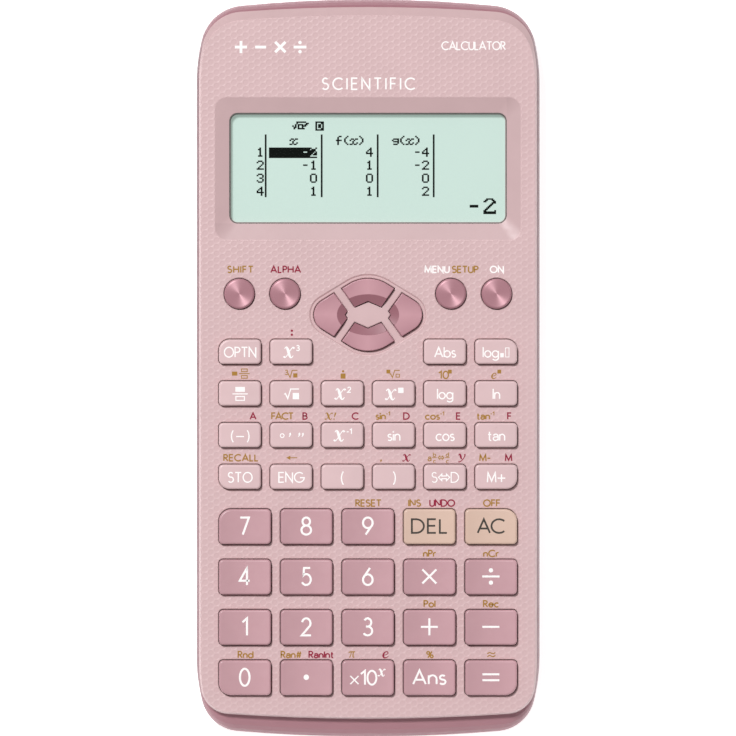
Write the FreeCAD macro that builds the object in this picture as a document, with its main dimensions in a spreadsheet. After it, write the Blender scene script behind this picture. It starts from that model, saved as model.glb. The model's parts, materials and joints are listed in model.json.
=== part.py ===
import FreeCAD, Part
import math
import os
import Sketcher
from FreeCAD import Placement, Rotation, Vector

# A pocket scientific calculator lying on its back.
# Frame: X across the body, Y along it with the display towards +Y, Z up out of the
# panel.  The origin is the middle of the back face.  Millimetres throughout.

DIMENSIONS = {
    # Outline of the rear case where it is widest, seen from above
    "rear_half_width": 38.5,
    "rear_top_end": 82.75,
    "rear_top_start": 63.8,
    "rear_top_shoulder": 42.1,
    "rear_top_corner": 10.1,
    "rear_top_crown": 289.0,
    "rear_bottom_end": 82.75,
    "rear_bottom_start": 64.6,
    "rear_bottom_shoulder": 41.1,
    "rear_bottom_corner": 8.9,
    "rear_bottom_crown": 345.0,
    # Outline of the front case
    "front_half_width": 37.8,
    "front_top_end": 80.75,
    "front_top_start": 64.8,
    "front_top_shoulder": 36.0,
    "front_top_corner": 9.3,
    "front_top_crown": 385.0,
    "front_bottom_end": 78.45,
    "front_bottom_start": 65.7,
    "front_bottom_shoulder": 40.0,
    "front_bottom_corner": 6.4,
    "front_bottom_crown": 460.0,
    # Heights of the shell
    "floor_thickness": 1.6,
    "widest_height": 5.0,
    "split_height": 9.4,
    "bevel_height": 11.1,
    "plate_bottom": 10.7,
    "panel_top": 12.2,
    "base_inset": 3.0,
    "base_side_height": 2.6,
    # Shell walls and the joint between the two cases
    "rear_wall": 1.2,
    "tongue_gap": 0.1,
    "tongue_thickness": 0.8,
    "tongue_depth": 1.5,
    "edge_bevel": 0.4,
    "top_bevel": 2.0,
    # Display
    "display_y": 44.55,
    "window_y": 44.7,
    "bezel_width": 68.5,
    "bezel_depth": 32.1,
    "bezel_corner": 2.6,
    "bezel_drop": 1.0,
    "window_width": 62.1,
    "window_depth": 24.8,
    "window_corner": 1.9,
    "window_thickness": 0.9,
    "window_ledge": 0.35,
    "window_gap": 0.05,
    "display_frame_width": 68.0,
    "display_frame_depth": 31.4,
    "display_frame_bottom": 9.3,
    "glass_width": 65.0,
    "glass_depth": 27.6,
    "glass_thickness": 1.1,
    "glass_rear_extra": 1.2,
    "holder_width": 68.0,
    "holder_depth": 31.4,
    "holder_rim": 2.0,
    "strip_offset": 2.2,
    "strip_depth": 1.6,
    "strip_end_gap": 4.0,
    # Keys: plan sizes and places
    "small_key_width": 9.4,
    "small_key_depth": 5.5,
    "small_pitch_x": 11.45,
    "small_pitch_y": 9.32,
    "small_first_y": 3.65,
    "big_key_width": 11.6,
    "big_key_depth": 7.85,
    "big_pitch_x": 13.75,
    "big_pitch_y": 11.26,
    "big_first_y": -35.45,
    "key_corner": 0.95,
    "small_soft_corner": 2.4,
    "big_soft_corner": 2.7,
    "round_key_radius": 3.38,
    "round_key_y": 16.6,
    "round_inner_x": 18.55,
    "round_outer_x": 28.75,
    # Keys: heights and fits
    "key_top": 13.8,
    "round_key_top": 13.3,
    "cursor_top": 13.0,
    "key_clearance": 0.17,
    "opening_chamfer": 0.15,
    "key_edge_round": 0.45,
    "cursor_edge_round": 0.25,
    "key_dish_radius": 90.0,
    "round_dish_radius": 15.0,
    "flange_lip": 0.55,
    "flange_bottom": 9.6,
    "flange_top": 10.6,
    "stem_radius": 1.2,
    "stem_bottom": 9.0,
    # Cursor pad
    "cursor_y": 11.9,
    "cursor_waist_radius": 8.08,
    "cursor_nose_radius": 3.7,
    "cursor_nose_x": 8.4,
    "cursor_rim": 1.1,
    "cursor_recess": 0.35,
    "up_notch": 3.09,
    "up_inner_along": 1.78,
    "up_inner_across": 2.95,
    "up_outer_along": 5.87,
    "up_outer_across": 5.86,
    "side_notch": 5.2,
    "side_inner_along": 4.69,
    "side_inner_across": 0.78,
    "side_outer_along": 7.6,
    "side_outer_across": 4.85,
    "cursor_dish_x": 6.95,
    "cursor_dish_y": 4.6,
    "cursor_dish_inset": 2.2,
    "cursor_dish_drop": 0.7,
    "cursor_dish_lift": 0.02,
    # Rubber key mat
    "mat_bottom": 6.6,
    "mat_thickness": 0.8,
    "mat_width": 68.6,
    "mat_top_y": 23.4,
    "mat_bottom_y": -74.6,
    "mat_corner": 3.0,
    "dome_base_radius": 2.6,
    "dome_top_radius": 1.5,
    "dome_wall": 0.5,
    "dome_roof": 0.8,
    # Circuit board
    "board_bottom": 5.4,
    "board_thickness": 1.2,
    "board_width": 69.4,
    "board_top_y": 61.8,
    "board_bottom_y": -75.0,
    "board_corner": 3.5,
    "boss_hole_radius": 2.0,
    # Screw bosses and screws
    "boss_radius": 1.6,
    "post_radius": 2.8,
    "head_pocket_radius": 1.9,
    "head_pocket_depth": 3.4,
    "shank_hole_radius": 1.05,
    "shank_radius": 0.85,
    "screw_head_radius": 1.6,
    "screw_head_height": 1.2,
    "screw_tip_height": 9.6,
    "drive_slot": 0.5,
    "drive_reach": 0.95,
    "drive_depth_share": 0.5,
    "upper_screw_x": 32.5,
    "upper_screw_y": 72.5,
    "middle_screw_x": 22.9,
    "middle_screw_y": 10.0,
    "lower_screw_x": 20.62,
    "lower_screw_y": -63.62,
    # Battery, its bay and its cover
    "cell_radius": 5.25,
    "cell_length": 43.3,
    "cell_button_radius": 1.9,
    "cell_button_length": 1.2,
    "cell_x": 2.5,
    "cell_y": 70.05,
    "cell_height": 6.15,
    "bay_length": 50.4,
    "bay_width": 11.7,
    "bay_wall": 1.3,
    "bay_wall_top": 9.5,
    "cell_gap": 0.15,
    "cover_x": -0.5,
    "cover_length": 58.8,
    "cover_width": 13.2,
    "cover_corner": 2.0,
    "cover_gap": 0.15,
    "cover_outer": 0.1,
    "cover_screw_x": -27.0,
    "cover_boss_radius": 2.4,
    "cover_boss_top": 6.0,
    "cover_head_height": 0.8,
    "cover_screw_tip": 4.8,
    "grip_width": 0.8,
    "grip_length": 8.0,
    "grip_pitch": 1.7,
    "grip_depth": 0.4,
    "grip_x": 19.5,
    "contact_thickness": 0.3,
    "contact_width": 8.0,
    "contact_tab_width": 3.0,
    "contact_tab_y": 60.5,
    "contact_below": 4.2,
    "contact_above": 3.0,
    "contact_seat_gap": 0.05,
    "contact_leg_reach": 1.5,
    "contact_leg_height": 1.2,
    "contact_tab_reach": 1.0,
    "contact_slot_gap": 0.3,
    "lobe_base_radius": 2.6,
    "lobe_tip_radius": 1.2,
    "cell_edge": 0.5,
    "cover_boss_roof": 0.6,
    "cover_boss_rib": 1.6,
    "cover_groove_margin": 0.6,
    # Ribs on the rear case's floor
    "rib_width": 1.0,
    "rib_height": 1.2,
    "rib_end_gap": 0.6,
    "spine_bottom_y": -76.8,
    "spine_top_y": 62.9,
    # Parts soldered under the board
    "processor_side": 10.0,
    "processor_y": 33.0,
    "processor_height": 1.3,
    "clock_x": 10.6,
    "clock_y": 32.3,
    "clock_length": 3.2,
    "clock_width": 1.6,
    "clock_height": 1.1,
    "reservoir_x": 18.0,
    "reservoir_y": 50.0,
    "reservoir_radius": 2.5,
    "reservoir_height": 3.2,
    "chip_first_x": -21.0,
    "chip_first_y": 42.0,
    "chip_pitch_x": 2.6,
    "chip_pitch_y": 4.0,
    "chip_length": 1.6,
    "chip_width": 0.8,
    "chip_height": 0.6,
    # How far fused parts bite into each other, and cutting tools reach past a face
    "overlap": 0.2,
    "cut_clear": 0.5,
    "small_gap": 0.1,
}

DIGIT_ROWS = (
    ("key_7", "key_8", "key_9", "key_delete", "key_all_clear"),
    ("key_4", "key_5", "key_6", "key_multiply", "key_divide"),
    ("key_1", "key_2", "key_3", "key_plus", "key_minus"),
    ("key_0", "key_point", "key_exponent", "key_answer", "key_equals"),
)
FUNCTION_ROWS = (
    ("key_options", "key_cube", None, None, "key_absolute", "key_log_base"),
    ("key_fraction", "key_square_root", "key_square", "key_power", "key_log", "key_ln"),
    ("key_negative", "key_degrees", "key_reciprocal", "key_sin", "key_cos", "key_tan"),
    ("key_store", "key_engineering", "key_open_bracket", "key_close_bracket",
     "key_convert", "key_memory_plus"),
)
# The corner of each block of keys is softer than the others.
# Corners are counted anticlockwise from the right-hand far one.
SOFT_CORNERS = {
    "key_log_base": 0, "key_options": 1, "key_store": 2, "key_memory_plus": 3,
    "key_all_clear": 0, "key_7": 1, "key_0": 2, "key_equals": 3,
}
# The rounded lower edge and the rounded rim follow ellipses, cut at these angles.
BASE_ANGLES = (0, 18, 36, 54, 72, 90)
RIM_ANGLES = (0, 14, 28, 42, 56, 68)
RIB_ROWS = (44.0, 24.0, -10.0, -30.0, -50.0)
CHIP_ROWS, CHIP_COLUMNS = 2, 6
GRIP_COUNT = 4
LEFT, RIGHT = -1, 1
TOLERANCE = 1e-4

document = FreeCAD.newDocument("calculator")


class Size:
    """A length that carries its number and the sheet expression that gives it."""

    def __init__(self, value, text):
        self.value = value
        self.text = text

    @staticmethod
    def of(amount):
        if isinstance(amount, Size):
            return amount
        return Size(float(amount), "(%r)" % float(amount))

    def __add__(self, other):
        other = Size.of(other)
        return Size(self.value + other.value, "(%s + %s)" % (self.text, other.text))

    def __sub__(self, other):
        other = Size.of(other)
        return Size(self.value - other.value, "(%s - %s)" % (self.text, other.text))

    def __mul__(self, other):
        other = Size.of(other)
        return Size(self.value * other.value, "(%s * %s)" % (self.text, other.text))

    def __truediv__(self, other):
        other = Size.of(other)
        return Size(self.value / other.value, "(%s / %s)" % (self.text, other.text))

    def __radd__(self, other):
        return Size.of(other) + self

    def __rsub__(self, other):
        return Size.of(other) - self

    def __rmul__(self, other):
        return Size.of(other) * self

    def __neg__(self):
        return Size(-self.value, "(-%s)" % self.text)


def make_sheet():
    """Write the driving dimensions into the sheet, and return them by name."""
    sheet = document.addObject("Spreadsheet::Sheet", "Dimensions")
    sizes = {}
    for row, (name, value) in enumerate(DIMENSIONS.items(), start=1):
        sheet.set("A%d" % row, name)
        sheet.set("B%d" % row, str(value))
        sheet.setAlias("B%d" % row, name)
        sizes[name] = Size(value, "Dimensions." + name)
    document.recompute()
    return sizes


S = make_sheet()


# ---------------------------------------------------------------- sketch helpers

def new_body(name):
    body = document.addObject("PartDesign::Body", name)
    body.Label = name
    return body


def bind(thing, path, size):
    """Tie one property or constraint to the sheet."""
    thing.setExpression(path, Size.of(size).text)


def new_sketch(body, name, role="XY_Plane", offset=(0, 0, 0), turn=0.0):
    """A sketch on one of the body's own origin planes, shifted by offset."""
    sketch = body.newObject("Sketcher::SketchObject", body.Name + "_" + name)
    plane = next(f for f in body.Origin.OriginFeatures if f.Role == role)
    sketch.AttachmentSupport = [(plane, "")]
    sketch.MapMode = "FlatFace"
    numbers = [Size.of(part).value for part in offset]
    sketch.AttachmentOffset = Placement(Vector(*numbers), Rotation(Vector(0, 0, 1), turn))
    for letter, part in zip("xyz", offset):
        if isinstance(part, Size):
            bind(sketch, "AttachmentOffset.Base." + letter, part)
    return sketch


def constrain(sketch, kind, items, size):
    """Add a constraint with a value that follows the sheet."""
    size = Size.of(size)
    index = sketch.addConstraint(Sketcher.Constraint(kind, *items, size.value))
    bind(sketch, "Constraints[%d]" % index, size)


def place_point(sketch, piece, point, x, y):
    """Fix one point of the sketch, where point is 1 start, 2 end or 3 centre."""
    for kind, axis, size in (("DistanceX", -2, Size.of(x)), ("DistanceY", -1, Size.of(y))):
        if abs(size.value) < 1e-9:
            sketch.addConstraint(Sketcher.Constraint("PointOnObject", piece, point, axis))
        elif size.value > 0:
            constrain(sketch, kind, (-1, 1, piece, point), size)
        else:
            constrain(sketch, kind, (piece, point, -1, 1), -size)


def add_line(sketch, start, end):
    first, second = Vector(start[0], start[1], 0), Vector(end[0], end[1], 0)
    return sketch.addGeometry(Part.LineSegment(first, second), False)


def add_arc(sketch, centre, radius, start, end):
    """An anticlockwise arc between two angles in radians."""
    circle = Part.Circle(Vector(centre[0], centre[1], 0), Vector(0, 0, 1), radius)
    return sketch.addGeometry(Part.ArcOfCircle(circle, start, end), False)


def add_circle(sketch, x, y, radius):
    x, y, radius = Size.of(x), Size.of(y), Size.of(radius)
    circle = Part.Circle(Vector(x.value, y.value, 0), Vector(0, 0, 1), radius.value)
    index = sketch.addGeometry(circle, False)
    place_point(sketch, index, 3, x, y)
    constrain(sketch, "Radius", (index,), radius)


def add_ellipse(sketch, long_radius, short_radius):
    """An ellipse about the sketch's origin, with its long axis along X."""
    ellipse = Part.Ellipse(Vector(0, 0, 0), long_radius.value, short_radius.value)
    index = sketch.addGeometry(ellipse, False)
    sketch.exposeInternalGeometry(index)
    long_axis, short_axis = index + 1, index + 2
    sketch.addConstraint(Sketcher.Constraint("Coincident", index, 3, -1, 1))
    sketch.addConstraint(Sketcher.Constraint("Horizontal", long_axis))
    constrain(sketch, "Distance", (long_axis,), long_radius * 2)
    constrain(sketch, "Distance", (short_axis,), short_radius * 2)


def polar(centre, radius, angle):
    return (centre[0] + radius * math.cos(angle), centre[1] + radius * math.sin(angle))


def add_belt(sketch, corners):
    """A closed loop of arcs joined by tangent lines, like a belt round pulleys.

    Each corner is (x, y, radius), in anticlockwise order.
    """
    numbers = [tuple(Size.of(part).value for part in corner) for corner in corners]
    count = len(numbers)
    headings = []
    for index in range(count):
        x, y, radius = numbers[index]
        next_x, next_y, next_radius = numbers[(index + 1) % count]
        gap = math.hypot(next_x - x, next_y - y)
        bearing = math.atan2(next_y - y, next_x - x)
        headings.append(bearing - math.pi / 2 - math.asin((next_radius - radius) / gap))
    pieces = []
    for index in range(count):
        x, y, radius = numbers[index]
        start, end = headings[index - 1], headings[index]
        while end < start:
            end += 2 * math.pi
        arc = add_arc(sketch, (x, y), radius, start, end)
        next_x, next_y, next_radius = numbers[(index + 1) % count]
        line_start = polar((x, y), radius, headings[index])
        line_end = polar((next_x, next_y), next_radius, headings[index])
        pieces += [arc, add_line(sketch, line_start, line_end)]
        place_point(sketch, arc, 3, corners[index][0], corners[index][1])
        constrain(sketch, "Radius", (arc,), corners[index][2])
    join_tangent(sketch, pieces)


def join_tangent(sketch, pieces):
    for first, second in zip(pieces, pieces[1:] + pieces[:1]):
        sketch.addConstraint(Sketcher.Constraint("Tangent", first, 2, second, 1))


def add_rounded_rectangle(sketch, width, depth, radii):
    """A rectangle about the sketch's origin with a radius for each corner."""
    signs = ((1, 1), (-1, 1), (-1, -1), (1, -1))
    corners = []
    for (sign_x, sign_y), radius in zip(signs, radii):
        corners.append(((width / 2 - radius) * sign_x, (depth / 2 - radius) * sign_y, radius))
    add_belt(sketch, corners)


# --------------------------------------------------------------- feature helpers

def pad(body, name, sketch, length, up=True):
    feature = body.newObject("PartDesign::Pad", body.Name + "_" + name)
    feature.Profile = sketch
    feature.Reversed = not up
    bind(feature, "Length", length)
    return feature


def pocket(body, name, sketch, length, up=False, both_ways=False):
    feature = body.newObject("PartDesign::Pocket", body.Name + "_" + name)
    feature.Profile = sketch
    feature.Reversed = up
    feature.Midplane = both_ways
    bind(feature, "Length", length)
    return feature


def loft(body, name, sketches, ruled=False, cut=False):
    kind = "PartDesign::SubtractiveLoft" if cut else "PartDesign::AdditiveLoft"
    feature = body.newObject(kind, body.Name + "_" + name)
    feature.Profile = sketches[0]
    feature.Sections = sketches[1:]
    feature.Ruled = ruled
    return feature


def attach(feature, body, offset, rotation=None):
    """Hold a primitive feature on its body's base plane, shifted by offset."""
    plane = next(f for f in body.Origin.OriginFeatures if f.Role == "XY_Plane")
    feature.AttachmentSupport = [(plane, "")]
    feature.MapMode = "FlatFace"
    numbers = [Size.of(part).value for part in offset]
    feature.AttachmentOffset = Placement(Vector(*numbers), rotation or Rotation())
    for letter, part in zip("xyz", offset):
        if isinstance(part, Size):
            bind(feature, "AttachmentOffset.Base." + letter, part)


def cylinder(body, name, x, y, bottom, top, radius, cut=False):
    """An upright round post, or a round hole when cut is set."""
    kind = "PartDesign::SubtractiveCylinder" if cut else "PartDesign::AdditiveCylinder"
    feature = body.newObject(kind, body.Name + "_" + name)
    attach(feature, body, (x, y, bottom))
    bind(feature, "Radius", radius)
    bind(feature, "Height", top - bottom)
    return feature


def block(body, name, low, high, cut=False):
    """A box between two corners, added or cut."""
    kind = "PartDesign::SubtractiveBox" if cut else "PartDesign::AdditiveBox"
    feature = body.newObject(kind, body.Name + "_" + name)
    attach(feature, body, low)
    bind(feature, "Length", high[0] - low[0])
    bind(feature, "Width", high[1] - low[1])
    bind(feature, "Height", high[2] - low[2])
    return feature


def edge_names(shape, wanted):
    return ["Edge%d" % (number + 1) for number, edge in enumerate(shape.Edges) if wanted(edge)]


def round_edges(body, name, base, wanted, radius, kind="PartDesign::Fillet"):
    """Fillet or chamfer the edges of base that the test picks out."""
    document.recompute()
    feature = body.newObject(kind, body.Name + "_" + name)
    feature.Base = (base, edge_names(base.Shape, wanted))
    bind(feature, "Size" if kind.endswith("Chamfer") else "Radius", radius)
    return feature


def lies_at(height):
    """A test for edges that lie wholly at one height."""
    def test(edge):
        box = edge.BoundBox
        return abs(box.ZMin - height) < TOLERANCE and abs(box.ZMax - height) < TOLERANCE
    return test


def make_solids(name, parts):
    """Several separate solids that belong to one sub-part."""
    group = document.addObject("Part::Compound", name)
    group.Label = name
    group.Links = parts
    return group


def solid_box(name, low, high):
    box = document.addObject("Part::Box", name)
    for prop, near, far in zip(("Length", "Width", "Height"), low, high):
        bind(box, prop, Size.of(far) - near)
    for letter, near in zip("xyz", low):
        bind(box, "Placement.Base." + letter, near)
    return box


def solid_cylinder(name, x, y, bottom, top, radius):
    post = document.addObject("Part::Cylinder", name)
    bind(post, "Radius", radius)
    bind(post, "Height", Size.of(top) - bottom)
    for letter, near in zip("xyz", (x, y, bottom)):
        bind(post, "Placement.Base." + letter, near)
    return post


def solid_cone(name, x, y, bottom, top, base_radius, top_radius):
    cone = document.addObject("Part::Cone", name)
    bind(cone, "Radius1", base_radius)
    bind(cone, "Radius2", top_radius)
    bind(cone, "Height", Size.of(top) - bottom)
    for letter, near in zip("xyz", (x, y, bottom)):
        bind(cone, "Placement.Base." + letter, near)
    return cone


def solid_extrusion(name, sketch, length):
    """A prism that rises from a sketch outside any body."""
    prism = document.addObject("Part::Extrusion", name)
    prism.Base = sketch
    prism.DirMode = "Normal"
    prism.Solid = True
    bind(prism, "LengthFwd", length)
    return prism


def free_sketch(name, x, y, z, turn=0.0):
    """A level sketch that belongs to no body."""
    sketch = document.addObject("Sketcher::SketchObject", name)
    numbers = [Size.of(part).value for part in (x, y, z)]
    sketch.Placement = Placement(Vector(*numbers), Rotation(Vector(0, 0, 1), turn))
    for letter, part in zip("xyz", (x, y, z)):
        bind(sketch, "Placement.Base." + letter, part)
    return sketch


def cut_all(name, base, tools):
    """Subtract every tool from the base."""
    tool = tools[0]
    if len(tools) > 1:
        tool = document.addObject("Part::MultiFuse", name + "_tools")
        tool.Shapes = tools
    cut = document.addObject("Part::Cut", name)
    cut.Base = base
    cut.Tool = tool
    return cut


def fuse_all(name, parts):
    fuse = document.addObject("Part::MultiFuse", name)
    fuse.Shapes = parts
    return fuse


# ------------------------------------------------------------------- the outline

OUTLINE_PARTS = ("end", "start", "shoulder", "corner", "crown")


def outline_sizes(blend):
    """The outline's sizes, from the rear case's (0) to the front case's (1)."""
    def mixed(name):
        if isinstance(blend, Size):
            return S["rear_" + name] * (1 - blend) + S["front_" + name] * blend
        return S[("rear_", "front_")[blend] + name]
    ends = {side: [mixed(side + "_" + part) for part in OUTLINE_PARTS] for side in ("top", "bottom")}
    return mixed("half_width"), ends


def shoulder_turn(half_width, end, start, shoulder, corner, crown):
    """How far the shoulder arc turns before the tighter corner arc takes over."""
    across = half_width - shoulder
    along = start - (end - crown)
    reach = shoulder - corner
    needed = (crown - corner) ** 2 - across ** 2 - along ** 2 - reach ** 2
    lean = math.atan2(along, across)
    return lean - math.acos(needed / (2 * reach * math.hypot(across, along)))


def add_outline(sketch, blend, inset=0, top_bevel=0):
    """The case outline: two straight sides, and ends of five arcs each.

    top_bevel draws the far end in by more than the inset.
    """
    half_width, ends = outline_sizes(blend)
    half_width = half_width - inset
    pieces = []
    for direction, side in ((1, "top"), (-1, "bottom")):
        end, start, shoulder, corner, crown = ends[side]
        if side == "top":
            end, start = end - top_bevel, start - top_bevel
        end, shoulder, corner, crown = end - inset, shoulder - inset, corner - inset, crown - inset
        turn = shoulder_turn(half_width.value, end.value, start.value,
                             shoulder.value, corner.value, crown.value)
        hub = (half_width.value - shoulder.value, start.value)
        corner_hub = polar(hub, shoulder.value - corner.value, turn)
        crown_drop = math.atan2(corner_hub[0], corner_hub[1] - end.value + crown.value)
        spin = 0 if direction > 0 else math.pi
        quarter = math.pi / 2
        arcs = (
            (hub, shoulder, 0, turn, True),
            (corner_hub, corner, turn, quarter - crown_drop, False),
            ((0, end.value - crown.value), crown, quarter - crown_drop, quarter + crown_drop, True),
            ((-corner_hub[0], corner_hub[1]), corner, quarter + crown_drop, math.pi - turn, False),
            ((-hub[0], hub[1]), shoulder, math.pi - turn, math.pi, True),
        )
        fixed_centres = {
            0: ((half_width - shoulder) * direction, start * direction),
            2: (0, (end - crown) * direction),
            4: ((half_width - shoulder) * -direction, start * direction),
        }
        for number, (centre, radius, first, last, fixed) in enumerate(arcs):
            centre = (centre[0] * direction, centre[1] * direction)
            arc = add_arc(sketch, centre, radius.value, first + spin, last + spin)
            constrain(sketch, "Radius", (arc,), radius)
            if fixed:
                place_point(sketch, arc, 3, *fixed_centres[number])
            pieces.append(arc)
        other_start = ends["bottom" if side == "top" else "top"][1].value
        if side == "bottom":
            other_start -= Size.of(top_bevel).value
        side_x = -half_width.value * direction
        pieces.append(add_line(sketch, (side_x, start.value * direction),
                               (side_x, -other_start * direction)))
    join_tangent(sketch, pieces)


def outline_sketch(body, name, height, blend, inset=0, top_bevel=0):
    sketch = new_sketch(body, name, offset=(0, 0, height))
    add_outline(sketch, blend, inset, top_bevel)
    return sketch


# ------------------------------------------------------------------ key layout

def key_places():
    """Every rectangular key: name, centre x, centre y and family."""
    places = []
    for row, names in enumerate(FUNCTION_ROWS):
        for column, name in enumerate(names):
            if name:
                x = S["small_pitch_x"] * (column - 2.5)
                y = S["small_first_y"] - S["small_pitch_y"] * row
                places.append((name, x, y, "small"))
    for row, names in enumerate(DIGIT_ROWS):
        for column, name in enumerate(names):
            x = S["big_pitch_x"] * (column - 2)
            y = S["big_first_y"] - S["big_pitch_y"] * row
            places.append((name, x, y, "big"))
    return places


def round_places():
    return (
        ("key_shift", S["round_outer_x"] * LEFT),
        ("key_alpha", S["round_inner_x"] * LEFT),
        ("key_menu", S["round_inner_x"]),
        ("key_on", S["round_outer_x"]),
    )


CURSOR_KEYS = (
    ("cursor_right", "side", 0.0),
    ("cursor_up", "up", 90.0),
    ("cursor_left", "side", 180.0),
    ("cursor_down", "up", 270.0),
)


def corner_radii(name, family, extra=0):
    radii = [S["key_corner"] + extra] * 4
    if name in SOFT_CORNERS:
        radii[SOFT_CORNERS[name]] = S[family + "_soft_corner"] + extra
    return radii


def add_key_outline(sketch, name, family, extra=0):
    """The plan of a rectangular key, grown all round by extra."""
    width = S[family + "_key_width"] + extra * 2
    depth = S[family + "_key_depth"] + extra * 2
    add_rounded_rectangle(sketch, width, depth, corner_radii(name, family, extra))


def touch_angle(hub_x, radius, point):
    """Where on the outer arc a line from the point runs tangent into it."""
    along = point[0] - hub_x
    reach = math.hypot(along, point[1])
    return math.atan2(point[1], along) + math.acos(min(1.0, radius / reach))


def add_petal_outline(sketch, family, extra=0):
    """The plan of a cursor key that points along +X, grown all round by extra.

    From a notched inner end two straight flanks spread to the outer corners.
    Short straight edges then run tangent into the rounded outer end.
    """
    extra = Size.of(extra)
    hub = S["cursor_nose_x"] if family == "side" else Size.of(0)
    radius = S["cursor_nose_radius"] if family == "side" else S["cursor_waist_radius"]
    corners = [
        (S[family + "_notch"], Size.of(0)),
        (S[family + "_inner_along"], -S[family + "_inner_across"]),
        (S[family + "_outer_along"], -S[family + "_outer_across"]),
    ]
    numbers = [(x.value, y.value) for x, y in corners]
    touch = touch_angle(hub.value, radius.value, numbers[2])
    tangent = polar((hub.value, 0), radius.value, touch)
    mirrored_inner = (numbers[1][0], -numbers[1][1])
    ring = [mirrored_inner] + numbers + [tangent]
    grown = []
    for index, (x, y) in enumerate(corners, start=1):
        shift_x, shift_y = mitre_shift(ring[index - 1], ring[index], ring[index + 1])
        grown.append((x + extra * shift_x, y + extra * shift_y))
    radius = radius + extra
    points = [(x.value, y.value) for x, y in grown]
    touch = touch_angle(hub.value, radius.value, points[2])
    end_point = polar((hub.value, 0), radius.value, touch)
    lower = [add_line(sketch, points[0], points[1]), add_line(sketch, points[1], points[2]),
             add_line(sketch, points[2], end_point)]
    arc = add_arc(sketch, (hub.value, 0), radius.value, touch, -touch)
    mirror = [(x, -y) for x, y in points]
    upper = [add_line(sketch, (end_point[0], -end_point[1]), mirror[2]),
             add_line(sketch, mirror[2], mirror[1]), add_line(sketch, mirror[1], points[0])]
    pieces = lower + [arc] + upper
    for first, second in zip(pieces, pieces[1:] + pieces[:1]):
        kind = "Tangent" if arc in (first, second) else "Coincident"
        sketch.addConstraint(Sketcher.Constraint(kind, first, 2, second, 1))
    for piece, (x, y) in zip(lower, grown):
        place_point(sketch, piece, 1, x, y)
    for piece, (x, y) in zip(upper[1:], grown[:0:-1]):
        place_point(sketch, piece, 1, x, -y)
    place_point(sketch, arc, 3, hub, 0)
    constrain(sketch, "Radius", (arc,), radius)


def mitre_shift(before, here, after):
    """Unit growth of a corner of an anticlockwise outline, as an x and y factor."""
    first = math.atan2(here[1] - before[1], here[0] - before[0]) - math.pi / 2
    second = math.atan2(after[1] - here[1], after[0] - here[0]) - math.pi / 2
    scale = 1 + math.cos(first - second)
    return ((math.cos(first) + math.cos(second)) / scale,
            (math.sin(first) + math.sin(second)) / scale)


def screw_places():
    places = []
    for level in ("upper", "middle", "lower"):
        for side in (LEFT, RIGHT):
            places.append((S[level + "_screw_x"] * side, S[level + "_screw_y"]))
    return places


# ---------------------------------------------------------------------- the cases

def make_front_case():
    """The panel with its skirt: a shell, the screw bosses and the key openings."""
    shell = make_front_shell()
    bosses, pilots = [], []
    bottom = S["board_bottom"]
    for number, (x, y) in enumerate(screw_places()):
        bosses.append(solid_cylinder("boss%d" % number, x, y, bottom,
                                     S["plate_bottom"] + S["overlap"], S["boss_radius"]))
        pilots.append(solid_cylinder("pilot%d" % number, x, y, bottom - S["cut_clear"],
                                     S["screw_tip_height"] + S["small_gap"], S["shank_radius"]))
    solid = fuse_all("front_solid", [shell] + bosses)
    opened = cut_all("front_opened", solid, pilots + key_opening_tools())
    return chamfer_openings(opened)


def make_front_shell():
    body = new_body("front_shell")
    skirt_bottom = S["split_height"] - S["tongue_depth"]
    tongue_inset = S["rear_wall"] + S["tongue_gap"]
    cavity_inset = tongue_inset + S["tongue_thickness"]
    skirt = outline_sketch(body, "skirt", S["split_height"], 1)
    pad(body, "skirt_wall", skirt, S["bevel_height"] - S["split_height"])
    tongue = outline_sketch(body, "tongue", skirt_bottom, 1, tongue_inset)
    pad(body, "tongue_wall", tongue, S["tongue_depth"])
    shoulder = outline_sketch(body, "shoulder", S["bevel_height"], 1)
    extra = S["top_bevel"] - S["edge_bevel"]
    panel = outline_sketch(body, "panel", S["panel_top"], 1, S["edge_bevel"], extra)
    loft(body, "panel_bevel", [shoulder, panel], ruled=True)
    cavity = outline_sketch(body, "cavity", skirt_bottom, 1, cavity_inset)
    pocket(body, "hollow", cavity, S["plate_bottom"] - skirt_bottom, up=True)
    add_display_seat(body)
    add_cell_relief(body)
    add_cursor_recess(body)
    return body


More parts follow.
